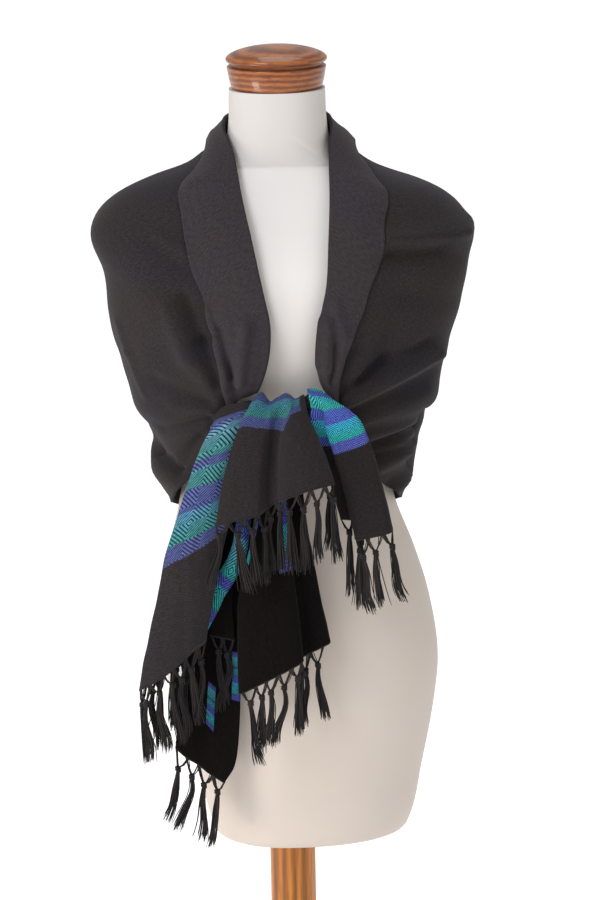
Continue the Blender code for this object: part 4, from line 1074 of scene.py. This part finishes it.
def twill(finish, weft, warp, gleam, band):
    """Charcoal cotton woven in a diamond twill, matt and slightly hairy.

    The eye sees black warp lines over a weft a shade lighter, in nested diamonds, and in
    the band a coloured weft between the same black lines.
    """
    material, tree, shader = finish_named(
        finish,
        Roughness=0.9,
        Sheen_Weight=gleam / 2,
        Sheen_Roughness=0.45,
        IOR=1.5,
        Specular_IOR_Level=gleam,
    )
    place = node(tree, "ShaderNodeUVMap", uv_map="cloth").outputs[0]
    across, from_hem = node(tree, "ShaderNodeSeparateXYZ", {0: place}).outputs[:2]
    zig, zag = (
        node(tree, "ShaderNodeMath", {0: way, 1: TWILL_REPEAT / 2}, operation="PINGPONG")
        for way in (across, from_hem)
    )
    diamond = node(
        tree, "ShaderNodeMath", {0: zig.outputs[0], 1: zag.outputs[0]}, operation="ADD"
    ).outputs[0]
    half = TWILL_LINE / 2
    wave = node(tree, "ShaderNodeMath", {0: diamond, 1: half}, operation="PINGPONG").outputs[0]
    lines = node(
        tree,
        "ShaderNodeMapRange",
        {0: wave, 1: LINE_FROM * half, 2: LINE_TO * half},
        interpolation_type="SMOOTHSTEP",
    ).outputs[0]

    # Yarn that took the dye unevenly: soft bars along the weft and a cloudy drift of hue
    stretched = node(tree, "ShaderNodeMapping", {0: place, 3: DYE_BARS}).outputs[0]
    bars = node(tree, "ShaderNodeTexNoise", {0: stretched, 2: 1.0, 3: 2.0}).outputs[0]
    drift = node(tree, "ShaderNodeTexNoise", {0: place, 2: DRIFT, 3: 3.0}).outputs[0]
    dyed = node(tree, "ShaderNodeValToRGB", {0: drift}, zip((0.35, 0.65), weft)).outputs[0]
    warp = node(tree, "ShaderNodeValToRGB", {0: bars}, zip((0.3, 0.7), warp)).outputs[0]
    shown = node(
        tree, "ShaderNodeMath", {0: lines, 1: WEFT_SHOWN}, operation="MAXIMUM"
    ).outputs[0]
    if band:
        dyed, warp, shown = with_band(tree, from_hem, band, lines, dyed, warp, shown)
    woven = node(tree, "ShaderNodeMix", {0: shown, 6: warp, 7: dyed}, data_type="RGBA")

    # Thick and thin yarn: flecks 3 mm long, which the eye reads as the grain of the cloth
    spun = node(tree, "ShaderNodeMapping", {0: place, 3: YARN_FLECKS}).outputs[0]
    flecks = node(tree, "ShaderNodeTexNoise", {0: spun, 2: 1.0, 3: 2.0}).outputs[0]
    depth = node(
        tree, "ShaderNodeMapRange", {0: flecks, 1: 0.30, 2: 0.70, 3: 0.72, 4: 1.30}
    ).outputs[0]
    toned = node(tree, "ShaderNodeHueSaturation", {"Value": depth, "Color": woven.outputs[2]})
    tree.links.new(toned.outputs[0], shader.inputs["Base Color"])

    # Yarn about 0.5 mm thick can't show at this distance: its fuzz is drawn at 1.2 mm
    fuzz = node(tree, "ShaderNodeTexNoise", {0: place, 2: FUZZ, 3: 2.0}).outputs[0]
    relief = node(tree, "ShaderNodeMath", {0: fuzz, 1: lines}, operation="ADD").outputs[0]
    bump = node(
        tree, "ShaderNodeBump", {"Strength": 0.35, "Distance": 0.00025, "Height": relief}
    )
    tree.links.new(bump.outputs[0], shader.inputs["Normal"])
    return material


def fringe_yarn():
    """Loose ends of the same cotton yarn: matt, near black, a few a shade browner."""
    material, tree, shader = finish_named(
        "charcoal_fringe_yarn",
        Roughness=0.8,
        Sheen_Weight=0.10,
        Sheen_Roughness=0.4,
        Specular_IOR_Level=0.3,
    )
    place = node(tree, "ShaderNodeUVMap", uv_map="cloth").outputs[0]
    shade, along = node(tree, "ShaderNodeSeparateXYZ", {0: place}).outputs[:2]
    tones = [(0.0, "#120f10"), (0.6, "#191516"), (1.0, "#2f2824")]
    colour = node(tree, "ShaderNodeValToRGB", {0: shade}, tones)
    tree.links.new(colour.outputs[0], shader.inputs["Base Color"])
    # Two plies laid together: one turn each 1.6 mm
    twist = node(tree, "ShaderNodeMath", {0: along, 1: 0.0008}, operation="PINGPONG").outputs[0]
    bump = node(tree, "ShaderNodeBump", {"Strength": 0.4, "Distance": 0.0002, "Height": twist})
    tree.links.new(bump.outputs[0], shader.inputs["Normal"])
    return material


def jersey():
    """Undyed knitted cotton stretched over padding: warm white, matt, almost smooth."""
    material, tree, shader = finish_named(
        "undyed_cotton_jersey",
        Roughness=0.82,
        Sheen_Weight=0.08,
        Sheen_Roughness=0.5,
        Specular_IOR_Level=0.3,
    )
    place = node(tree, "ShaderNodeTexCoord").outputs["Object"]
    height = node(tree, "ShaderNodeSeparateXYZ", {0: place}).outputs[2]
    cloudy = node(tree, "ShaderNodeTexNoise", {0: place, 2: 7.0, 3: 3.0}).outputs[0]
    upper_tone, painted_shade_low = (
        node(tree, "ShaderNodeValToRGB", {0: cloudy}, zip((0.3, 0.7), tones)).outputs[0]
        for tones in (("#dcd9d5", "#e0ddd9"), ("#c3b9af", "#c8beb5"))
    )
    # Painted shade: the jersey is painted darker towards the bottom, and the neck above its seam
    # is painted a shade darker
    low, high = PAINTED_SHADE_HEIGHTS
    low_shade_share = node(tree, "ShaderNodeMapRange", {0: height, 1: low, 2: high}).outputs[0]
    body = node(tree, "ShaderNodeMix", {0: low_shade_share, 6: painted_shade_low, 7: upper_tone}, data_type="RGBA")
    # Painted shade on the neck above its seam: a darker tone mixed in
    seam = TORSO_BOTTOM + NECK_SEAM + SHADE_FROM
    at_neck = node(
        tree,
        "ShaderNodeMapRange",
        {0: height, 1: seam - SHADE_BLEND, 2: seam + SHADE_BLEND, 4: NECK_PAINTED_SHADE},
    ).outputs[0]
    colour = node(
        tree,
        "ShaderNodeMix",
        {0: at_neck, 6: body.outputs[2], 7: linear("#bdb8b3")},
        data_type="RGBA",
    )
    tree.links.new(colour.outputs[2], shader.inputs["Base Color"])
    # The knit's ribs stand 0.7 mm apart and are drawn at 1.5 mm
    stretched = node(tree, "ShaderNodeMapping", {0: place, 3: (1, 1, 0.25)}).outputs[0]
    knit = node(tree, "ShaderNodeTexNoise", {0: stretched, 2: 650.0, 3: 2.0}).outputs[0]
    bump = node(tree, "ShaderNodeBump", {"Strength": 0.12, "Distance": 0.0002, "Height": knit})
    tree.links.new(bump.outputs[0], shader.inputs["Normal"])
    return material


def varnished_wood(name, tones, ring_pitch, stretch, across, coat, roughness):
    """Turned hardwood under varnish: long growth bands, fine pores and a clear coat."""
    material, tree, shader = finish_named(
        name,
        Roughness=roughness,
        Coat_Weight=coat,
        Coat_Roughness=0.05,
        Coat_IOR=1.5,
        Specular_IOR_Level=0.3,
    )
    place = node(tree, "ShaderNodeTexCoord").outputs["Object"]
    along = node(tree, "ShaderNodeMapping", {0: place, 3: stretch}).outputs[0]
    wander = node(tree, "ShaderNodeTexNoise", {0: along, 2: 14.0, 3: 3.0}).outputs["Color"]
    bent = node(tree, "ShaderNodeMix", {0: 0.018, 4: along, 5: wander}, data_type="VECTOR")
    rings = node(
        tree,
        "ShaderNodeTexWave",
        {0: bent.outputs[1], 1: WAVE_PITCH / ring_pitch, 2: 2.2, 3: 3.0, 4: 1.5},
        bands_direction=across,
    ).outputs[1]
    toned = node(tree, "ShaderNodeValToRGB", {0: rings}, zip((0.0, 0.5, 1.0), tones)).outputs[0]
    pores = node(tree, "ShaderNodeTexNoise", {0: along, 2: 420.0, 3: 2.0}).outputs[0]
    flecks = node(
        tree, "ShaderNodeMapRange", {0: pores, 1: 0.36, 2: 0.52, 3: 0.70, 4: 1.0}
    ).outputs[0]
    grain = node(
        tree,
        "ShaderNodeMix",
        {0: 1.0, 6: toned, 7: flecks},
        data_type="RGBA",
        blend_type="MULTIPLY",
    )
    tree.links.new(grain.outputs[2], shader.inputs["Base Color"])
    return material


# The shawl


def wrap_and_collar(material, painted_light_collar):
    """One sheet from the hem up to the fold line, over it and down the turned collar."""
    wrap, normal = wrap_surface()
    fold, collar = turned_collar(wrap, normal)
    whole = np.concatenate([wrap[::-1], fold, collar])
    columns = whole.shape[1]
    length = reached(wrap, 1).mean(axis=0)
    along_warp = np.broadcast_to(length - length[columns // 2], whole.shape[:2])
    uv = np.stack([reached(whole, 0), CLOTH_START + along_warp], axis=-1)
    obj = cloth_wall(gridded("shawl_wrap_and_collar", whole, uv, material, away_from_axis))
    # The collar's rows take the copy of the cloth with painted light
    obj.data.materials.append(painted_light_collar)
    for polygon in obj.data.polygons:
        row = polygon.index // (columns - 1)
        polygon.material_index = int(row > WRAP_ROWS + FOLD_ROWS // 2)
    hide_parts("wrap_left_chest", "wrap_left_arm", "wrap_back", "wrap_right_arm",
                "wrap_right_chest", "collar")
    return obj


def places_from_hem(grid, woven):
    """How far from the hem the cloth at each point of a panel is, as its glimpses say."""
    down = reached(grid, 0)
    down /= down[-1]
    columns = grid.shape[1]
    places = np.array(woven).T
    top, middle, end = (
        np.interp(np.linspace(0, 1, columns), places[0], values) for values in places[1:]
    )
    from_hem = np.empty(grid.shape[:2])
    for j in range(columns):
        from_hem[:, j] = np.interp(
            down[:, j], [0, middle[j], end[j], 1], [top[j], BAND_MIDDLE, BAND_START, 0]
        )
    return from_hem


def plain_between_glimpses(obj):
    """Makes the cloth plain in the faces where one glimpse of the band meets another."""
    layer = obj.data.uv_layers["cloth"].data
    places = np.empty(len(layer) * 2, np.float32)
    layer.foreach_get("uv", places)
    places = places.reshape(-1, 4, 2)
    between = np.ptp(places[..., 1], axis=1) > GLIMPSE_JUMP
    places[between, :, 1] = PLAIN_PLACE
    layer.foreach_set("uv", places.ravel())


def fine_panel(stretch, material, seed):
    """A hanging stretch of cloth on its solid's folds, with small ones between them."""
    grid = panel(stretch.drops, stretch.creases, FINE_DROP, FINE_CREASE)
    grid[..., 0] += stretch.spread * np.linspace(0, 1, grid.shape[1]) ** 3
    normal = normals_of(grid)
    normal *= np.sign(-normal[..., 1].sum())
    small, wide = PANEL_SWELLS
    swells = uneven(grid, small, seed) + uneven(grid, wide, seed + 9)
    down = np.linspace(0, 1, grid.shape[0])[:, None]
    grid = grid + normal * (swells * rise(down, 0, SWELLS_FULL))[..., None]
    across = reached(grid, 1)
    across = (across - across[:, grid.shape[1] // 2][:, None]) * stretch.drawn
    uv = np.stack([across, places_from_hem(grid, stretch.woven)], axis=-1)
    obj = cloth_wall(gridded("shawl_" + stretch.name, grid, uv, material, forwards))
    plain_between_glimpses(obj)
    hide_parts(stretch.name)
    return obj, hem_line(grid)


class Threads:
    """Round threads gathered into one mesh, each with a number for its shade."""

    def __init__(self):
        self.points, self.quads, self.uv = [], [], []
        self.count = 0

    def add(self, path, radii, shade, sides=3):
        """A thread through the path's points, tapering as its radii say."""
        path = np.asarray(path, float)
        radii = np.broadcast_to(radii, len(path))[:, None, None]
        along = np.gradient(path, axis=0)
        along /= np.maximum(np.linalg.norm(along, axis=1, keepdims=True), 1e-9)
        first = np.cross(along, [0.31, 0.87, 0.12])
        first /= np.linalg.norm(first, axis=1, keepdims=True)
        second = np.cross(along, first)
        angles = (np.arange(sides) * 2 * math.pi / sides)[None, :, None]
        ring = (
            path[:, None]
            + first[:, None] * (np.cos(angles) * radii)
            + second[:, None] * (np.sin(angles) * radii)
        )
        base = self.count + np.arange(len(path) - 1)[:, None] * sides
        k = np.arange(sides)[None, :]
        m = (k + 1) % sides
        quads = np.stack([base + k, base + m, base + m + sides, base + k + sides], axis=-1)
        length = np.repeat(path_lengths(path)[:, None], sides, 1)
        uv = np.stack([np.full(length.shape, shade), length], axis=-1)
        self.points.append(ring.reshape(-1, 3))
        self.quads.append(quads.reshape(-1, 4))
        self.uv.append(uv.reshape(-1, 2))
        self.count += ring.shape[0] * sides

    def made(self, name, material):
        """The gathered threads as one object."""
        points, quads, uv = (np.concatenate(p) for p in (self.points, self.quads, self.uv))
        return made_of(name, points, quads, uv, material)


def unit_level(directions):
    """Directions laid level, one long each."""
    level = directions * [1, 1, 0]
    return level / np.maximum(np.linalg.norm(level, axis=1, keepdims=True), 1e-9)


def tassel_shares(hem):
    """Where the tassels hang, as shares of the hem's length, and the pitch of all of them."""
    so_far = path_lengths(hem)

    def at(where):
        return np.stack([np.interp(where, so_far, hem[:, k]) for k in range(3)], axis=1)

    count = max(2, round(so_far[-1] / TASSEL_PITCH))
    middles = (np.arange(count) + 0.5) * so_far[-1] / count
    before, here, after = at(middles - TURN_REACH), at(middles), at(middles + TURN_REACH)
    straight = (unit_level(here - before) * unit_level(after - here)).sum(axis=1)
    return middles[straight > TURN_LEAST] / so_far[-1], 1 / count


# A tassel in making: its knot's place, the level directions along the hem and out from it,
# and how far the strands sway and lean

Tassel = namedtuple("Tassel", "knot along out sway lean")


def tassel_legs(threads, rng, tassel, on_hem, share, pitch):
    """Two gathered legs from the hem to the tassel's knot, with a gap between them."""
    for leg in (-1, 1):
        foot = share + leg * pitch * rng.uniform(*LEG_FOOT)
        for _ in range(LEG_THREADS):
            start = on_hem(np.clip(foot + rng.gauss(0, LEG_SPREAD) * pitch, 0, 1))
            side = rng.uniform(-1, 1)
            bow = start * (1 - LEG_WAIST) + tassel.knot * LEG_WAIST + [0, 0, -LEG_SAG]
            bow = bow + tassel.along * side * LEG_WIDE
            bow = bow + tassel.out * rng.uniform(-LEG_DEEP, LEG_DEEP)
            end = tassel.knot + tassel.along * side * LEG_END + [0, 0, TUCKED]
            threads.add([start + [0, 0, TUCKED], bow, end], LEG_THREAD, rng.random())


def tassel_knot(threads, rng, tassel):
    """The knot: a cord wound round a core."""
    turns = np.linspace(0, 2 * WINDING_TURNS * math.pi, 26)
    tilt = rng.uniform(-WOUND_TILT, WOUND_TILT)
    wound = [
        tassel.knot
        + tassel.along * WOUND_WIDE * math.cos(t)
        + tassel.out * WOUND_DEEP * math.sin(t)
        + np.array([0, 0, WOUND_TOP - WOUND_HEIGHT * t / turns[-1] + tilt * math.cos(t)])
        for t in turns
    ]
    threads.add(wound, WINDING, rng.uniform(0.1, 0.7), sides=6)
    core = [tassel.knot + [0, 0, height] for height, _ in KNOT_CORE]
    threads.add(core, [radius for _, radius in KNOT_CORE], 0.3, sides=8)


def tassel_strands(threads, rng, tassel):
    """The loose strands under the knot, which spread, sway and stray a little."""
    length = FRINGE_DROP * rng.uniform(0.96, 1.12) - KNOT_SHARE
    bend = rng.gauss(0, BEND)
    for _ in range(STRANDS):
        angle = rng.uniform(0, 2 * math.pi)
        spread = math.sqrt(rng.random())
        u, v = spread * math.cos(angle), spread * math.sin(angle)
        stray = 1.0 + (rng.random() < STRAYS) * rng.uniform(*STRAY_MORE)
        drop = length * rng.uniform(0.82, 1.0)
        wobble = rng.gauss(0, WOBBLE)
        path = []
        for t in np.linspace(0, 1, len(STRAND_RADII)):
            wide = BRUSH_TOP + BRUSH_MORE * t**1.1 * stray
            sideways = u * wide + tassel.sway * t**1.6 + bend * math.sin(6 * t)
            sideways += wobble * math.sin(5 * t + angle)
            outwards = v * min(wide, BRUSH_DEEP) * 0.9 + tassel.lean * t
            down = [0, 0, -STRAND_TOP - drop * t]
            path.append(tassel.knot + down + tassel.along * sideways + tassel.out * outwards)
        threads.add(path, STRAND_RADII, rng.random())


def fine_fringe(name, coarse_hem, hem, swing, material, seed):
    """The threads left beyond the hem: gathered, knotted and hanging in loose tassels."""
    rng = random.Random(seed)
    threads = Threads()
    shares, pitch = tassel_shares(coarse_hem)
    so_far = path_lengths(hem)
    so_far /= so_far[-1]

    def on_hem(share):
        return np.array([np.interp(share, so_far, hem[:, k]) for k in range(3)])

    edge = np.array([on_hem(s) for s in np.linspace(0, 1, 160)]) + [0, 0, -0.0006]
    threads.add(edge, HEM_CORD, 0.4, sides=6)
    for share in shares:
        along = on_hem(min(share + 0.01, 1)) - on_hem(max(share - 0.01, 0))
        along = unit_level(along[None])[0]
        out = np.cross(along, [0, 0, 1.0])
        out *= -np.sign(out[1]) if abs(out[1]) > 1e-6 else 1
        sway = rng.gauss(swing, SWAY)
        lean = rng.gauss(0, LEAN)
        knot = on_hem(share) + [0, 0, -KNOT_DROP - rng.uniform(0, KNOT_DROP_MORE)]
        knot = knot + along * (rng.uniform(-KNOT_SHIFT, KNOT_SHIFT) + 0.2 * sway)
        tassel = Tassel(knot, along, out, sway, lean)
        tassel_legs(threads, rng, tassel, on_hem, share, pitch)
        tassel_knot(threads, rng, tassel)
        tassel_strands(threads, rng, tassel)
    obj = threads.made("shawl_" + name, material)
    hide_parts(name)
    return obj


def gathered_knot(material):
    """The tied bundle: the solid's shape, pleated along its length."""
    x, y, z, depth, height = through(KNOT, KNOT_RINGS).T[:, :, None]
    angle = np.linspace(0, 2 * math.pi, KNOT_SIDES + 1)
    pleat = 1 + KNOT_PLEAT * np.cos(KNOT_PLEATS * angle + KNOT_TWIST * x)
    grid = np.stack(
        [
            x + 0 * pleat,
            y + depth * np.cos(angle) * pleat,
            z + height * np.sin(angle) * pleat,
        ],
        axis=-1,
    )
    uv = np.stack([reached(grid, 1), KNOT_PLACE + reached(grid, 0)], axis=-1)

    def outwards(points):
        return points - np.repeat(grid.mean(axis=1), KNOT_SIDES + 1, axis=0)

    obj = gridded("shawl_knot", grid, uv, material, outwards)
    body = bmesh.new()
    body.from_mesh(obj.data)
    bmesh.ops.remove_doubles(body, verts=body.verts, dist=MERGE)
    bmesh.ops.holes_fill(body, edges=body.edges)
    body.to_mesh(obj.data)
    body.free()
    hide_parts("knot")
    return obj


# The form and its cap


def jersey_pull(grid):
    """A factor on the radius where the neck's seam and the crease beside it draw the jersey."""
    x, y, z = np.moveaxis(grid, -1, 0)
    off = z - NECK_SEAM - SEAM_TILT * np.clip(-y / NECK_DEPTH, -1, 1)
    pull = 1 + sum(p.share * bell(off - p.above, p.width) for p in SEAM_PUCKERS)
    line = NECK_CREASE
    off = z - line.z + line.slope * (x - line.x)
    shown = bell(x - line.middle, line.reach) * (y < 0)
    return pull + shown * sum(p.share * bell(off - p.above, p.width) for p in CREASE_PUCKERS)


def covered_torso(material):
    """The padded torso: the solid's sections on smooth curves, with the neck's seam."""
    heights = np.concatenate([TORSO_FOOT, *(np.linspace(*rows) for rows in TORSO_ROWS)])
    angles = np.linspace(0, 2 * math.pi, TORSO_SIDES + 1)
    grid = np.empty((len(heights), TORSO_SIDES + 1, 3))
    for i, (z, row) in enumerate(zip(heights, from_table(heights, TORSO))):
        x, y = on_section(angles, *row, TORSO_SQUARENESS)
        grid[i] = np.stack([x, y, np.full_like(x, z)], axis=-1)
    grid[..., :2] *= jersey_pull(grid)[..., None]
    uv = np.stack([reached(grid, 1), reached(grid, 0)], axis=-1)
    obj = gridded("form_torso", grid, uv, material, away_from_axis)
    body = bmesh.new()
    body.from_mesh(obj.data)
    bmesh.ops.remove_doubles(body, verts=body.verts, dist=MERGE)
    middle = TORSO_BOTTOM + NECK_TOP / 2
    open_edges = [e for e in body.edges if e.is_boundary]
    bottom = [e for e in open_edges if e.verts[0].co.z < middle]
    top = [e for e in open_edges if e.verts[0].co.z > middle]
    rim = bmesh.ops.extrude_edge_only(body, edges=bottom)["geom"]
    for v in (g for g in rim if isinstance(g, bmesh.types.BMVert)):
        level = Vector((v.co.x, v.co.y, 0)).normalized() * (POLE_RADIUS + POLE_ROOM)
        v.co = (level.x, level.y, v.co.z)
    bmesh.ops.holes_fill(body, edges=top)
    body.to_mesh(obj.data)
    body.free()
    obj.data.set_sharp_from_angle(angle=math.radians(TORSO_SHARP))
    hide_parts("torso")
    return obj


def turned_piece(name, profile, material, replaced):
    """A round piece from its profile of (radius, height), closed at the axis."""
    angles = np.linspace(0, 2 * math.pi, TURNED_SIDES, endpoint=False)
    body = bmesh.new()
    loops = []
    for radius, z in profile:
        around = angles if radius else [0]
        loops.append([
            body.verts.new((radius * math.sin(a), radius * math.cos(a), z + TORSO_BOTTOM))
            for a in around
        ])
    for one, other in zip(loops, loops[1:]):
        for i in range(TURNED_SIDES):
            j = (i + 1) % TURNED_SIDES
            corners = (one[i % len(one)], one[j % len(one)],
                       other[j % len(other)], other[i % len(other)])
            body.faces.new(list(dict.fromkeys(corners)))
    bmesh.ops.recalc_face_normals(body, faces=body.faces)
    mesh = bpy.data.meshes.new(name)
    body.to_mesh(mesh)
    body.free()
    mesh.shade_smooth()
    mesh.set_sharp_from_angle(angle=math.radians(TURNED_SHARP))
    mesh.materials.append(material)
    obj = put(name, mesh)
    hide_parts(replaced)


def neck_cap(material):
    """The turned wooden cap: a tapered base, a groove and a domed lid."""
    bottom = NECK_TOP + CAP_GAP
    shoulder = bottom + CAP_BASE_HEIGHT
    groove_top = shoulder + GROOVE
    edge = [
        (CAP_SHOULDER + CAP_EDGE * math.cos(t), shoulder - CAP_EDGE + CAP_EDGE * math.sin(t))
        for t in np.linspace(math.pi / 2, 0, 7)
    ]
    groove = [(0, groove_top), (GROOVE_RADIUS, groove_top), (GROOVE_RADIUS, shoulder)]
    taper = [(radius, bottom + height) for radius, height in CAP_TAPER]
    turned_piece("cap_lower", [*groove, *edge, *taper, (0, bottom)], material, "cap_base")
    rim = groove_top + CAP_GAP
    dome = [
        (LID_RADIUS * math.sin(t), rim + LID_RIM + DOME * math.cos(t) ** 1.15)
        for t in np.linspace(0, math.pi / 2, 26)
    ]
    foot = [(radius, rim + height) for radius, height in LID_FOOT]
    turned_piece("cap_upper", [*dome, *foot, (0, rim)], material, "cap_lid")


# Camera and light


def photograph_camera():
    """The camera where the photograph was taken from."""
    data = bpy.data.cameras.new("camera")
    data.lens = CAMERA_LENS
    data.sensor_width = 36
    data.clip_end = 200
    camera = bpy.data.objects.new("camera", data)
    bpy.context.scene.collection.objects.link(camera)
    camera.matrix_world = (
        Matrix.Translation(lifted(CAMERA_PLACE))
        @ Matrix.Rotation(math.radians(90 - CAMERA_DIP), 4, "X")
        @ Matrix.Rotation(math.radians(CAMERA_ROLL), 4, "Z")
    )
    bpy.context.scene.camera = camera


def soft_light(row):
    """A square soft box that faces its target."""
    data = bpy.data.lights.new(row.name, "AREA")
    data.color = linear(row.colour)[:3]
    data.size = row.size
    data.energy = row.power
    light = bpy.data.objects.new(row.name, data)
    light.location = row.place
    away = Vector(row.place) - Vector(row.target)
    light.rotation_euler = away.to_track_quat("Z", "Y").to_euler()
    bpy.context.scene.collection.objects.link(light)


def studio():
    """A plain white floor, lit from around, under a soft key from the upper left."""
    corners = [(x * FLOOR_REACH, y * FLOOR_REACH, 0) for x, y in FLOOR_CORNERS]
    mesh = bpy.data.meshes.new("floor")
    mesh.from_pydata(corners, [], [(0, 1, 2, 3)])
    material, _, _ = finish_named(
        "white_floor_paint",
        Roughness=0.9,
        Base_Color=linear("#f4f4f4"),
        Emission_Color=linear("#ffffff"),
        Emission_Strength=0.58,
    )
    mesh.materials.append(material)
    floor = bpy.data.objects.new("floor", mesh)
    bpy.context.scene.collection.objects.link(floor)
    world = bpy.data.worlds.new("white_surround")
    world.use_nodes = True
    background = world.node_tree.nodes["Background"]
    background.inputs[0].default_value = linear("#ffffff")
    background.inputs[1].default_value = 0.5
    bpy.context.scene.world = world
    bpy.context.scene.view_settings.view_transform = "Standard"
    for row in LIGHTS:
        soft_light(row)


def main():
    """Camera and light, then the form, then the shawl from the back to the front."""
    photograph_camera()
    studio()
    cloth = {name: twill(*face) for name, face in FACES.items()}
    yarn = fringe_yarn()
    covered_torso(jersey())
    russet = varnished_wood(
        "stained_varnished_cap_wood", ("#6c3610", "#8b4918", "#a35f2c"), 0.006,
        (0.25, 0.25, 1), "Z", 0.4, 0.36,
    )
    neck_cap(russet)
    honey = varnished_wood(
        "varnished_pole_wood", ("#875016", "#a5641f", "#bc762a"), 0.012,
        (1, 1, 0.05), "X", 0.15, 0.45,
    )
    for name in ("pole", "base"):
        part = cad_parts[name]
        part.data.materials.clear()
        part.data.materials.append(honey)
    shawl = wrap_and_collar(cloth["plain"], cloth["collar"])
    knot = gathered_knot(cloth["plain"])
    for number, stretch in enumerate(STRETCHES):
        hanging, hem = fine_panel(stretch, cloth[stretch.face], 11 + number)
        coarse = hem_line(panel(stretch.drops, stretch.creases))
        fringe = stretch.name + "_fringe"
        tassels = fine_fringe(fringe, coarse, hem, stretch.swing, yarn, 40 + number)


main()
